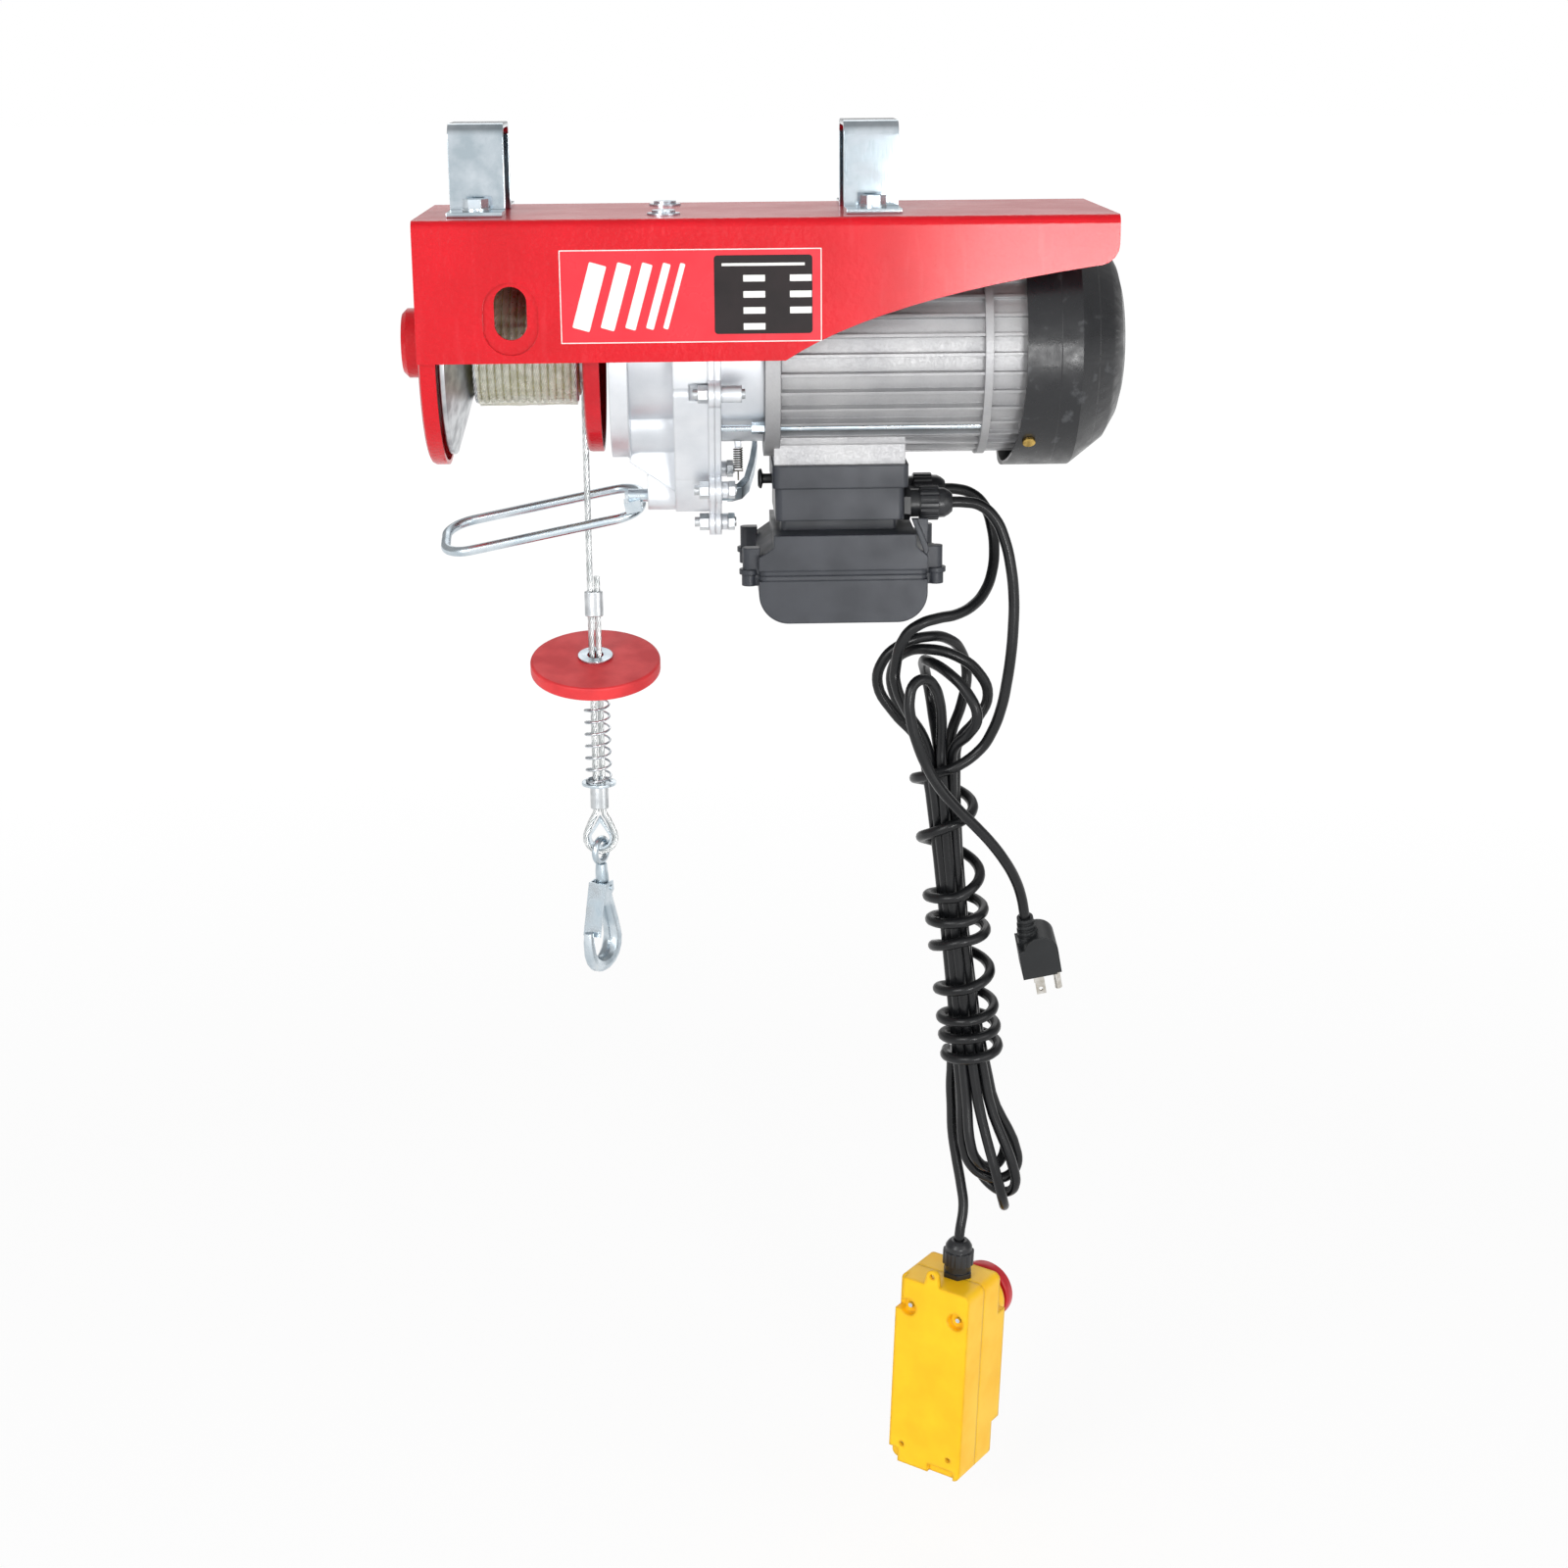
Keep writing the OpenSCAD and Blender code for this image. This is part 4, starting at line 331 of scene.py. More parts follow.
CAMERA_AT = point(10.6, -1548.8, 74.3)
CAMERA_PITCH = math.radians(16.256)
CAMERA_YAW = math.radians(1.881)
CAMERA_ROLL = math.radians(-0.447)
CAMERA_LENS = 58.95
CAMERA_SENSOR = 36
LAMP_AIM = point(50, 0, -300)
FLOOR_GAP = 60
FLOOR_Z = cad_box[0][2] - FLOOR_GAP * MM
FLOOR_SIZE = 60  # in metres
SHADOW_TO, WHITE_FROM = 0.9, 2.8  # in metres from the middle of the floor


def make_camera():
    """In front of the hoist and above it, looking down at it."""
    data = bpy.data.cameras.new("camera")
    data.lens = CAMERA_LENS
    data.sensor_width = CAMERA_SENSOR
    camera = bpy.data.objects.new("camera", data)
    bpy.context.scene.collection.objects.link(camera)
    camera.matrix_world = (Matrix.Translation(CAMERA_AT) @ Matrix.Rotation(-CAMERA_YAW, 4, "Z")
                           @ Matrix.Rotation(math.radians(90) - CAMERA_PITCH, 4, "X")
                           @ Matrix.Rotation(CAMERA_ROLL, 4, "Z"))
    bpy.context.scene.camera = camera


def make_lamp(name, place, size, watts):
    """A soft square lamp aimed at the middle of the hoist; place and size are in metres."""
    data = bpy.data.lights.new(name, "AREA")
    data.size = size
    data.energy = watts
    lamp = bpy.data.objects.new(name, data)
    bpy.context.scene.collection.objects.link(lamp)
    lamp.location = place
    aim = LAMP_AIM - Vector(place)
    lamp.rotation_euler = aim.to_track_quat("-Z", "Y").to_euler()


def make_floor():
    """A pale floor that keeps the shadow near the hoist and is white further out."""
    bpy.ops.mesh.primitive_plane_add(size=FLOOR_SIZE, location=(0, 0, FLOOR_Z))
    floor = bpy.context.active_object
    floor.name = "floor"
    material, tree, shader = new_material("matt_white_floor", Roughness=0.9)
    shader.inputs["Base Color"].default_value = colour("#F6F6F6")
    seen = add(tree, "LightPath").outputs
    direct = add(tree, "Math", {0: seen["Is Camera Ray"], 1: seen["Is Glossy Ray"]},
                 operation="MAXIMUM")
    direct = add(tree, "Math", {0: direct, 1: seen["Is Transmission Ray"]}, operation="MAXIMUM")
    away = add(tree, "VectorMath", {0: add(tree, "TexCoord").outputs["Object"]}, operation="LENGTH")
    glow = add(tree, "MapRange", {"Value": away.outputs["Value"], "From Min": SHADOW_TO,
                                  "From Max": WHITE_FROM, "To Min": 0.8, "To Max": 1.0})
    share = add(tree, "Math", {0: direct, 1: glow}, operation="MULTIPLY")
    lit = add(tree, "MixShader", {0: share, 1: shader, 2: add(tree, "Emission", {"Strength": 1.03})})
    tree.links.new(lit.outputs[0], tree.nodes["Material Output"].inputs["Surface"])
    paint(floor, material)


def make_world():
    """White behind the hoist, a plain level of light on it, and a bright front and darker back in gloss."""
    world = bpy.data.worlds.new("studio")
    bpy.context.scene.world = world
    world.use_nodes = True
    tree = world.node_tree
    seen = add(tree, "LightPath").outputs
    direct = add(tree, "Math", {0: seen["Is Camera Ray"], 1: seen["Is Transmission Ray"]},
                 operation="MAXIMUM")
    plain = add(tree, "MapRange", {"Value": direct, "To Min": 0.56, "To Max": 1.0})
    back = add(tree, "SeparateXYZ", {0: add(tree, "TexCoord").outputs["Generated"]}).outputs["Y"]
    mirrored = add(tree, "MapRange", {"Value": back, "From Min": -0.97, "From Max": -0.3,
                                      "To Min": 1.0, "To Max": 0.42})
    level = add(tree, "Mix", {0: seen["Is Glossy Ray"], 2: plain, 3: mirrored})
    tree.links.new(level.outputs[0], tree.nodes["Background"].inputs["Strength"])
    tree.nodes["Background"].inputs["Color"].default_value = (1, 1, 1, 1)


make_camera()
make_world()
deselect()
make_floor()
make_lamp("key_lamp", (-1.7, -2.6, 0.7), 1.6, 38)
make_lamp("fill_lamp", (2.2, -1.9, 0.2), 1.6, 14)
make_lamp("back_lamp", (0.4, 2.4, 1.2), 2.0, 13)
make_lamp("glance_lamp", (0.63, -2.4, -0.38), 0.5, 16)
bpy.context.scene.view_settings.view_transform = "Standard"


# ---------- solids that keep their shape ----------

MERGE_WITHIN = 0.01
FLAT_WITHIN = math.radians(0.5)


def dress(node, finish, width):
    """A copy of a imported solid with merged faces, edges rounded by a width, and its finish."""
    source = nodes[node]
    obj = bpy.data.objects.new(node + "_finished", source.data.copy())
    bpy.context.scene.collection.objects.link(obj)
    pick(obj)
    bpy.ops.mesh.customdata_custom_splitnormals_clear()
    bpy.ops.object.mode_set(mode="EDIT")
    bpy.ops.mesh.select_all(action="SELECT")
    bpy.ops.mesh.remove_doubles(threshold=MERGE_WITHIN * MM)
    bpy.ops.mesh.dissolve_limited(angle_limit=FLAT_WITHIN)
    bpy.ops.object.mode_set(mode="OBJECT")
    soften(obj, width)
    paint(obj, finish)
    slot = source.data.materials[0].name
    return finished(obj, source["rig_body"], slot, node)


# ---------- the sticker ----------

LABEL_X, LABEL_Y, LABEL_Z = 8.5, -75.4, -67
LABEL_W, LABEL_H = 147, 51
LABEL_BORDER = 0.6
BORDER_SINK = 0.25  # the border lies this far behind the sticker's face
PRINT_T = 0.06
STRIPES = [(-49, 10), (-34, 8), (-21, 6), (-10, 4.5), (-1, 3)]  # middle along X, and width
STRIPE_H = 38
STRIPE_LEAN = 16
PLATE_X, PLATE_Z = 49.5, -66.5
PLATE_W, PLATE_H = 55.7, 44
HEADING_UP, HEADING_W, HEADING_H = 16.8, 47, 1.6
FIELD_COLUMNS = [(-5.2, 4), (21.2, 3)]  # middle from the plate's middle, and number of blank fields
FIELD_TOP, FIELD_STEP = 9.1, 9
FIELD_W, FIELD_H = 12.4, 3.7


def printed(name, x, z, width, height, lift, finish, slot, corner=0.3, lean=0):
    """A thin flat print on the front with rounded corners; x and z are its middle, lean is in degrees."""
    bpy.ops.mesh.primitive_plane_add(size=1, location=point(x, LABEL_Y - lift, z),
                                     rotation=(math.pi / 2, math.radians(lean), 0))
    obj = bpy.context.active_object
    obj.name = name
    obj.scale = (width * MM, height * MM, 1)
    bpy.ops.object.transform_apply(location=False, rotation=False, scale=True)
    modify(obj, "BEVEL", affect="VERTICES", width=corner * MM, segments=5)
    modify(obj, "SOLIDIFY", thickness=PRINT_T * MM)
    paint(obj, finish)
    return finished(obj, "hoist", slot)


def make_label():
    """Plain stripes and a data plate with blank fields; there is no lettering."""
    printed("label_border", LABEL_X, LABEL_Z, LABEL_W + 2 * LABEL_BORDER, LABEL_H + 2 * LABEL_BORDER,
            -BORDER_SINK, LABEL_WHITE, "white_label")
    for i, (x, width) in enumerate(STRIPES):
        printed("label_stripe_%d" % i, x, LABEL_Z, width, STRIPE_H, PRINT_T, LABEL_WHITE, "white_label",
                0.8, STRIPE_LEAN)
    printed("data_plate", PLATE_X, PLATE_Z, PLATE_W, PLATE_H, PRINT_T, LABEL_BLACK, "black_plastic", 2)
    printed("data_heading", PLATE_X, PLATE_Z + HEADING_UP, HEADING_W, HEADING_H, 2 * PRINT_T,
            LABEL_WHITE, "white_label")
    for column, (x, rows) in enumerate(FIELD_COLUMNS):
        for row in range(rows):
            printed("data_field_%d_%d" % (column, row), PLATE_X + x, PLATE_Z + FIELD_TOP - FIELD_STEP * row,
                    FIELD_W, FIELD_H, 2 * PRINT_T, LABEL_WHITE, "white_label")


# ---------- gland nuts ----------

FLUTES = 14
FLUTE_VERTICES = 4
FLUTE_FLOOR = 0.93  # radius at the bottom of a flute, as a share of the ring's
NUT_R = 10.4
BOX_NUT_L, BOX_NUT_X, BOX_NUT_Y, BOX_NUT_Z = 11, 149, 23.5, -196
HANDSET_NUT_L, HANDSET_NUT_AT = 9.6, (175.1, -0.4, -706.6)
HANDSET_TILT, HANDSET_TURN = math.radians(2.5), math.radians(-35)


def fluted_ring(name, place, turn, height):
    """A ring of grip flutes round a gland nut; turn takes it from upright to its place."""
    bpy.ops.mesh.primitive_cylinder_add(vertices=FLUTE_VERTICES * FLUTES, radius=NUT_R * MM,
                                        depth=height * MM, location=point(*place), rotation=turn)
    obj = bpy.context.active_object
    obj.name = name
    for vertex in obj.data.vertices:
        number = round(math.atan2(vertex.co.y, vertex.co.x) / math.tau * FLUTE_VERTICES * FLUTES)
        if number % FLUTE_VERTICES == 0:
            vertex.co.x *= FLUTE_FLOOR
            vertex.co.y *= FLUTE_FLOOR
    soften(obj, 0.3, 25)
    paint(obj, GLAND_BLACK)
    return finished(obj, "hoist", "black_plastic")


def make_nuts():
    """The nuts of the two cord glands in the switch box and of the one on the hand control."""
    for side in (-1, 1):
        fluted_ring("gland_nut_%d" % (side + 1), (BOX_NUT_X, side * BOX_NUT_Y, BOX_NUT_Z),
                    (0, math.pi / 2, 0), BOX_NUT_L)
    fluted_ring("handset_gland_nut", HANDSET_NUT_AT, (0, HANDSET_TILT, HANDSET_TURN), HANDSET_NUT_L)


# ---------- ropes, cords and springs ----------


def swept(name, paths, radius, finish, roundness, kind="POLY"):
    """Round bars along lists of points, as one curve."""
    data = bpy.data.curves.new(name, "CURVE")
    data.dimensions = "3D"
    data.bevel_depth = radius * MM
    data.bevel_resolution = roundness
    data.use_fill_caps = True
    data.resolution_u = 5
    for path in paths:
        spline = data.splines.new(kind)
        if kind == "BEZIER":
            spline.bezier_points.add(len(path) - 1)
            for knot, place in zip(spline.bezier_points, path):
                knot.co = place
                knot.handle_left_type = knot.handle_right_type = "AUTO"
        else:
            spline.points.add(len(path) - 1)
            for knot, place in zip(spline.points, path):
                knot.co = (*place, 1)
        spline.use_smooth = True
    obj = bpy.data.objects.new(name, data)
    bpy.context.scene.collection.objects.link(obj)
    paint(obj, finish)
    return obj


def as_mesh(obj):
    """Turns a curve object into a mesh object."""
    pick(obj)
    bpy.ops.object.convert(target="MESH")
    return bpy.context.active_object


def evenly(path, step):
    """The same path with points every step millimetres."""
    fine, left = [path[0]], 0.0
    for a, b in zip(path, path[1:]):
        span = (b - a).length
        at = step * MM - left
        while at < span:
            fine.append(a.lerp(b, at / span))
            at += step * MM
        left = span - (at - step * MM)
    return fine + [path[-1]]


ROPE_D = 4
STRANDS = 6
STRAND_R = 0.74
STRAND_STEP = 2.2
LAY = 26  # length of one full turn of the strands


def stranded(name, path):
    """A wire rope: six strands laid round a core along a path."""
    path = evenly(path, STRAND_STEP)
    offset = ROPE_D / 2 - STRAND_R
    along_x = abs((path[1] - path[0]).normalized().x) >= 0.9
    side = Vector((0, 1, 0)) if along_x else Vector((1, 0, 0))
    strands = [[] for _ in range(STRANDS)]
    run = 0.0
    for i, place in enumerate(path):
        ahead = (path[min(i + 1, len(path) - 1)] - path[max(i - 1, 0)]).normalized()
        side = (side - side.dot(ahead) * ahead).normalized()
        other = ahead.cross(side)
        if i:
            run += (place - path[i - 1]).length / MM
        for k, strand in enumerate(strands):
            turn = math.tau * (run / LAY + k / STRANDS)
            strand.append(place + offset * MM * (math.cos(turn) * side + math.sin(turn) * other))
    core = swept(name + "_core", [path], offset * 1.02, ROPE_WIRE, 1)
    wires = swept(name, strands, STRAND_R, ROPE_WIRE, 1)
    core, wires = as_mesh(core), as_mesh(wires)
    pick(wires)
    core.select_set(True)
    bpy.ops.object.join()
    bpy.ops.object.shade_smooth()
    return wires


AXIS_Z = -100
ROPE_X = -58.2
ROPE_Y = 34.5
ROPE_PAIR = 4.4  # distance of the doubled rope's two legs
LINE_X = ROPE_X + ROPE_PAIR / 2
WIND_R = 34.5
WIND_TURNS = 14
WIND_PITCH = 4.45
WIND_STEPS = 24
INNER_R, INNER_L, INNER_X = WIND_R - 2.1, 62, -89
FILM_R, FILM_L, FILM_X = WIND_R + 2.8, 58, -89.5
FILM_CRUMPLE = 0.9
FERRULE_L = 16
INTO_FERRULE = 8
FREE_END = 9.4
UP_FERRULE_Z = -259.5
LOW_FERRULE_Z = -385.69
EYE_R = 9.5
EYE_Z = -421.187


def wind_path():
    """The turns on the drum, from the rope fall to the fixed end."""
    turns = []
    for i in range(WIND_TURNS * WIND_STEPS + 1):
        a = math.tau * i / WIND_STEPS
        turns.append(point(ROPE_X - WIND_PITCH * i / WIND_STEPS, WIND_R * math.cos(a),
                           AXIS_Z + WIND_R * math.sin(a)))
    end = turns[-1] + point(0, 0, ROPE_D)
    return [point(ROPE_X, ROPE_Y, AXIS_Z - ROPE_D), *turns, end]


def make_winding():
    """The outer turns on the drum, over a core that stands for the inner rope layers."""
    winding = stranded("rope_winding_strands", wind_path())
    finished(winding, "drum", "wire_rope", "rope_winding")
    bpy.ops.mesh.primitive_cylinder_add(vertices=64, radius=INNER_R * MM, depth=INNER_L * MM,
                                        location=point(INNER_X, 0, AXIS_Z), rotation=(0, math.pi / 2, 0))
    core = bpy.context.active_object
    core.name = "inner_rope_layers"
    soften(core, 2)
    paint(core, FILM_CORE)
    finished(core, "drum", "wire_rope")


def make_film():
    """A crumpled skin of oily film round the winding."""
    bpy.ops.mesh.primitive_cylinder_add(vertices=36, radius=FILM_R * MM, depth=FILM_L * MM,
                                        end_fill_type="NOTHING", location=point(FILM_X, 0, AXIS_Z),
                                        rotation=(0, math.pi / 2, 0))
    film = bpy.context.active_object
    film.name = "oiled_film"
    bpy.ops.object.mode_set(mode="EDIT")
    bpy.ops.mesh.select_all(action="SELECT")
    bpy.ops.mesh.subdivide(number_cuts=4)
    bpy.ops.transform.vertex_random(offset=FILM_CRUMPLE * MM, seed=4)
    bpy.ops.object.mode_set(mode="OBJECT")
    bpy.ops.object.shade_smooth()
    paint(film, FILM_SCRAP)
    finished(film, "drum", "wire_rope")


def make_rope_fall():
    """The taut rope from the drum to the upper ferrule."""
    top, low = point(ROPE_X, ROPE_Y, AXIS_Z - ROPE_D), point(ROPE_X, ROPE_Y, UP_FERRULE_Z)
    fall = stranded("rope_fall_strands", [top, low])
    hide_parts("rope_fall")
    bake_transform(fall)


def make_doubled_rope():
    """The two legs between the ferrules; the second ends a little above the upper ferrule."""
    legs = []
    for x, high_z in [(ROPE_X, UP_FERRULE_Z - INTO_FERRULE), (ROPE_X + ROPE_PAIR, UP_FERRULE_Z + FREE_END)]:
        legs.append([point(x, ROPE_Y, LOW_FERRULE_Z - INTO_FERRULE), point(x, ROPE_Y, high_z)])
    doubled = [stranded("doubled_rope_%d" % i, leg) for i, leg in enumerate(legs)]
    pick(doubled[0])
    doubled[1].select_set(True)
    bpy.ops.object.join()
    doubled[0].name = "doubled_rope"
    finished(doubled[0], "hook_line", "wire_rope", "rope_tail")


def make_rope_eye():
    """The drop-shaped eye round the thimble: it widens below the lower ferrule to a round foot."""
    half = ROPE_PAIR / 2
    neck = LOW_FERRULE_Z - FERRULE_L - EYE_Z
    foot = [(EYE_R * math.cos(math.radians(a)), EYE_R * math.sin(math.radians(a)))
            for a in range(155, 386, 10)]
    side = [(half, neck + 3), (half, neck - 1.5), (half + 1.1, neck - 4.5), (half + 3.3, neck - 8)]
    outline = [*[(-x, z) for x, z in side], *foot, *reversed(side)]
    eye = stranded("rope_eye_strands", [point(LINE_X + x, ROPE_Y, EYE_Z + z) for x, z in outline])
    finished(eye, "hook_line", "wire_rope", "rope_eye")


SPRING_R = 7.8
SPRING_WIRE = 1.5
SPRING_TOP = -313.2
SPRING_LOW = -383.69
SPRING_COILS = 10
SPRING_STEPS = 28
SPRING_CLOSED = 0.06  # share of its wire in the flat turns at each end


def make_stop_spring():
    """The bumper spring under the stop disc, with closed end turns."""
    steps = SPRING_COILS * SPRING_STEPS
    low, high = SPRING_LOW + SPRING_WIRE / 2, SPRING_TOP - SPRING_WIRE / 2
    path = []
    for i in range(steps + 1):
        a = math.tau * i / SPRING_STEPS
        share = min(max((i / steps - SPRING_CLOSED) / (1 - 2 * SPRING_CLOSED), 0), 1)
        path.append(point(LINE_X + SPRING_R * math.cos(a), ROPE_Y + SPRING_R * math.sin(a),
                          low + (high - low) * share))
    spring = as_mesh(swept("stop_spring_coils", [path], SPRING_WIRE / 2, SPRING_STEEL, 2))
    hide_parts("stop_spring")
    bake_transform(spring)


CORD_D = 6.8
HANK_LOOPS = 4
HANK_X, HANK_LEAN = 150, 0.113  # the hank's axis at its top, and its slope along X
HANK_TOP, HANK_STEP = -276, 8  # top of the first loop, and how much lower each next one is
HANK_LOW, HANK_LOW_STEP = -642, 9  # the same for the foot
LOBE_W, LOBE_H = 34, 30
WAIST_R, WAIST_TOP, WAIST_LOW = 9.9, -360, -590
FOOT_W, FOOT_H, FOOT_LEAN = 17, 18, 0.13
FIRST_AZIMUTH, AZIMUTH_STEP = 225, -45
LOBE_TURN = (22.5, 10, 3)  # extra azimuth at the top of a loop, so that the lobes cross

# Routes of the free cords
POWER_ROUTE = [
    (157.5, 23.5, -196), (170, 23.5, -196), (180, 23, -199), (188, 21, -207), (192, 17, -219),
    (193, 11, -232), (191, 3, -244), (186, -6, -254), (178, -15, -261), (167, -23, -265),
    (155, -29, -266), (144, -31, -269), (135, -29, -277)]
PLUG_ROUTE = [
    (159, -14, -333), (157, -20, -320), (153, -27, -309), (147, -33, -303), (140, -37, -305),
    (137, -39, -314), (138, -39, -327), (142, -38, -342), (148, -36, -357), (156, -35, -371),
    (167, -33, -385), (179, -30, -398), (190, -26, -411), (199, -22, -424), (206, -17, -437),
    (211, -12, -451), (214, -8, -466)]
PENDANT_ROUTE = [
    (157.5, -23.5, -196), (170, -23.5, -196), (180, -24, -198), (189, -25, -206), (195, -26, -219),
    (199, -27, -236), (201, -27, -254), (201, -27, -272), (200, -26, -290), (198, -24, -308),
    (195, -22, -325), (190, -20, -340), (183, -18, -352)]
DROP_ROUTE = [
    (170.5, 16, -568), (171, 17.5, -577), (170.5, 16.5, -590), (171, 15, -605), (171.5, 13, -622),
    (174, 10.5, -640), (177, 7.5, -658), (178.5, 4, -672), (175.7, -0.8, -690.2), (175.3, -0.5, -699.7)]
WRAP_LEVELS = (-366, -402, -449, -466, -479, -511, -533, -545, -559, -571)
WRAP_R = WAIST_R + CORD_D + 0.7
WRAP_STEPS = 16
WRAP_AZIMUTH = -90
WRAP_LAST_STEPS = 6  # the last wrap leaves the hank after so many steps
WRAP_END = 6  # straight run before the first wrap and after the last
INTO_PLUG = 2.9


def hank_point(radius, azimuth, z):
    """A point at a radius and azimuth from the hank's leaning axis."""
    a = math.radians(azimuth)
    axis = HANK_X + HANK_LEAN * (HANK_TOP - z) + FOOT_LEAN * max(0, WAIST_LOW - z)
    return point(axis + radius * math.cos(a), radius * math.sin(a), z)


def half_loop(top, low):
    """Radius and height down one side of a loop: wide lobe, narrow waist, round foot."""
    lobe = [(LOBE_W * math.sin(math.radians(a)), top - LOBE_H * (1 - math.cos(math.radians(a))))
            for a in (0, 30, 60, 90)]
    neck = [(WAIST_R + (LOBE_W - WAIST_R) * (1 + math.cos(math.pi * v)) / 2,
             top - LOBE_H + v * (WAIST_TOP - top + LOBE_H)) for v in (0.4, 0.75, 1)]
    foot = [(FOOT_W * math.sin(math.radians(a)), low + FOOT_H * (1 - math.cos(math.radians(a))))
            for a in (90, 60, 30)]
    return [*lobe, *neck, (WAIST_R, WAIST_LOW), *foot]


LOBE_SIDE, LOW_WAIST = 3, 7  # their places in the list that half_loop gives


def hank_loop(k):
    """Down one side, round the foot, up the other side and over the top to the next loop.

    The first loop begins beside the lobe, where the lead comes in, and the last one ends at the waist.
    """
    low = HANK_LOW - HANK_LOW_STEP * k
    down = half_loop(HANK_TOP - HANK_STEP * k, low)
    up = half_loop(HANK_TOP - HANK_STEP * (k + 1), low)
    azimuth = FIRST_AZIMUTH + AZIMUTH_STEP * k
    turn = [*LOBE_TURN, *[0] * len(down)]
    first = LOBE_SIDE if k == 0 else 0
    last = LOW_WAIST if k == HANK_LOOPS - 1 else 1
    going_down = [hank_point(down[i][0], azimuth + turn[i], down[i][1]) for i in range(first, len(down))]
    going_up = [hank_point(-up[i][0], azimuth - turn[i], up[i][1]) for i in range(last, len(up))]
    return [*going_down, hank_point(0, azimuth, low), *reversed(going_up)]


def power_path():
    """From the gland into the hank, through its loops, out at the waist and down to the plug."""
    loops = [place for k in range(HANK_LOOPS) for place in hank_loop(k)]
    end = hank_point(WAIST_R, 270, WAIST_TOP)
    plug_end, before = point(*PLUG_ROUTE[-1]), point(*PLUG_ROUTE[-2])
    into_plug = plug_end + INTO_PLUG * MM * (plug_end - before).normalized()
    return [*[point(*p) for p in POWER_ROUTE], loops[0] + point(0, 0, CORD_D), *loops, end,
            end + point(0, 0, CORD_D), *[point(*p) for p in PLUG_ROUTE], into_plug]


def wrap_path():
    """The pendant lead's turns round the waist of the hank."""
    path = []
    for i in range((len(WRAP_LEVELS) - 2) * WRAP_STEPS + WRAP_LAST_STEPS):
        k = min(i // WRAP_STEPS, len(WRAP_LEVELS) - 2)
        share = i / WRAP_STEPS - k
        z = WRAP_LEVELS[k] * (1 - share) + WRAP_LEVELS[k + 1] * share
        path.append(hank_point(WRAP_R, WRAP_AZIMUTH - 360 * i / WRAP_STEPS, z))
    return path


def pendant_path():
    """From the gland down to the hank, round its waist and on to the hand control."""
    wraps = wrap_path()
    lead_in = wraps[0] + WRAP_END * MM * (wraps[0] - wraps[1]).normalized()
    lead_out = wraps[-1] + WRAP_END * MM * (wraps[-1] - wraps[-2]).normalized()
    return [*[point(*p) for p in PENDANT_ROUTE], lead_in, *wraps, lead_out,
            *[point(*p) for p in DROP_ROUTE]]


def make_cords(plug, pins):
    """The mains lead with its plug, and the lead of the hand control."""
    power = swept("power_cord", [power_path()], CORD_D / 2, CORD_BLACK, 4, kind="BEZIER")
    finished(power, "hoist", "cord_rubber", "power_lead", "cord_hank", "plug_lead")
    pendant = swept("pendant_cord", [pendant_path()], CORD_D / 2, CORD_BLACK, 4, kind="BEZIER")
    finished(pendant, "hoist", "cord_rubber", "pendant_lead", "cord_wraps", "pendant_drop")


# ---------- finishes of the solids, and all pieces in turn ----------

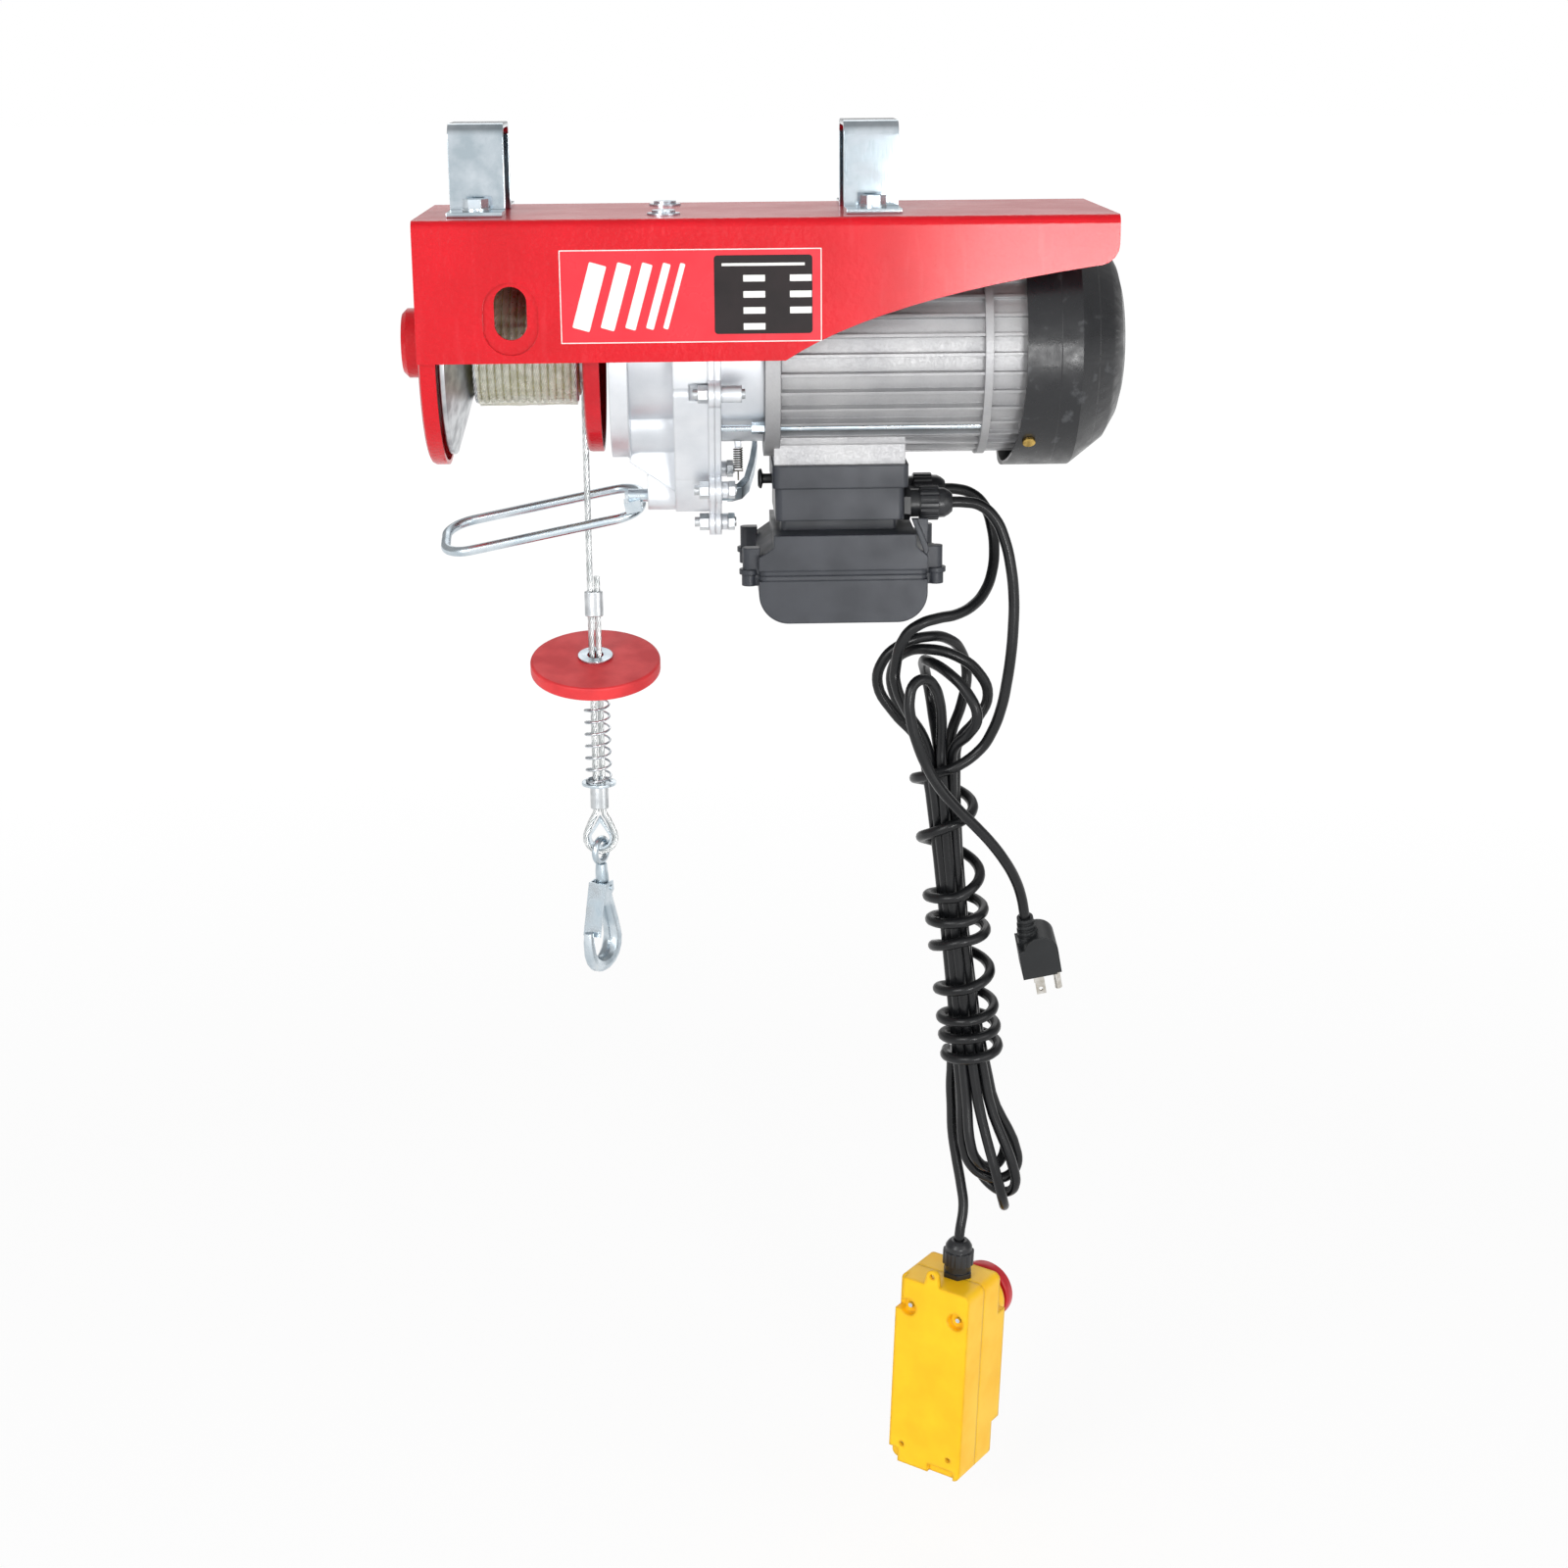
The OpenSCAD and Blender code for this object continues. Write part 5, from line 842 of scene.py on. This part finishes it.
# Node, its finish, and the width by which its edges are rounded
FINISHES = [
    ("frame", RED_COAT, 0.5),
    ("end_plate", RED_COAT, 0.8),
    ("bracket_left", STRAP_ZINC, 0.5),
    ("bracket_right", STRAP_ZINC, 0.5),
    ("deck_bolts", ZINC, 0.4),
    ("drum_barrel", DULL_ZINC, 0.6),
    ("drum_cup", DRUM_RED, 0.6),
    ("drum_shaft", GEAR_STEEL, 0.3),
    ("ball_bearings", GEAR_STEEL, 0.3),
    ("crimp_ferrules", DULL_ZINC, 0.8),
    ("stop_washer", ZINC, 0.3),
    ("stop_disc", DISC_RED, 0.8),
    ("lower_washer", ZINC, 0.3),
    ("limit_loop", ZINC, 0),
    ("lever_shaft", ZINC, 0.3),
    ("switch_arm", ZINC, 0.3),
    ("return_spring", DARK_SPRING, 0),
    ("limit_button", GLAND_BLACK, 0.3),
    ("gearbox_body", GEARBOX_METAL, 0.9),
    ("gearbox_cover", GEARBOX_METAL, 0.7),
    ("flange_bolts", DULL_ZINC, 0.3),
    ("output_gear", GEAR_STEEL, 0),
    ("countershaft", GEAR_STEEL, 0),
    ("motor_housing", MOTOR_METAL, 0.4),
    ("stator", COPPER, 0.6),
    ("rotor", GEAR_STEEL, 0.3),
    ("fan", GLAND_BLACK, 0.3),
    ("fan_cover", COVER_BLACK, 0.6),
    ("tie_rods", ZINC, 0.2),
    ("case_screws", BRASS, 0.3),
    ("box_cap", BOX_GREY, 0.8),
    ("box_body", BOX_GREY, 0.8),
    ("box_lid", BOX_GREY, 0.8),
    ("capacitor", GLAND_BLACK, 0.5),
    ("cable_glands", GLAND_BLACK, 0.4),
    ("thimble", ZINC, 0.2),
    ("hook", ZINC, 0),
    ("hook_latch", ZINC, 0.3),
    ("handset_back", YELLOW_SHELL, 1.2),
    ("handset_front", YELLOW_SHELL, 1.2),
    ("handset_gland", GLAND_BLACK, 0.5),
    ("stop_button", RED_KEY, 0.6),
    ("up_button", GREEN_KEY, 0.5),
    ("down_button", GLAND_BLACK, 0.5),
    ("handset_screws", ZINC, 0.2),
    ("label_plate", LABEL_RED, 0.1)]
LID_SCREWS_BELOW = -220


def plate_lid_screws():
    """Gives the screws of the box lid a zinc finish; the ones round the fan cover stay brass."""
    screws = bpy.data.objects["case_screws_finished"].data
    screws.materials.append(DULL_ZINC)
    for face in screws.polygons:
        face.material_index = int(face.center.z < LID_SCREWS_BELOW * MM)


make_winding()
make_film()
make_rope_fall()
make_doubled_rope()
make_rope_eye()
make_stop_spring()
for node, finish, width in FINISHES:
    dress(node, finish, width)
plate_lid_screws()
make_label()
make_nuts()
make_cords(dress("plug_body", PLUG_BLACK, 0.9), dress("plug_pins", PIN_STEEL, 0.3))
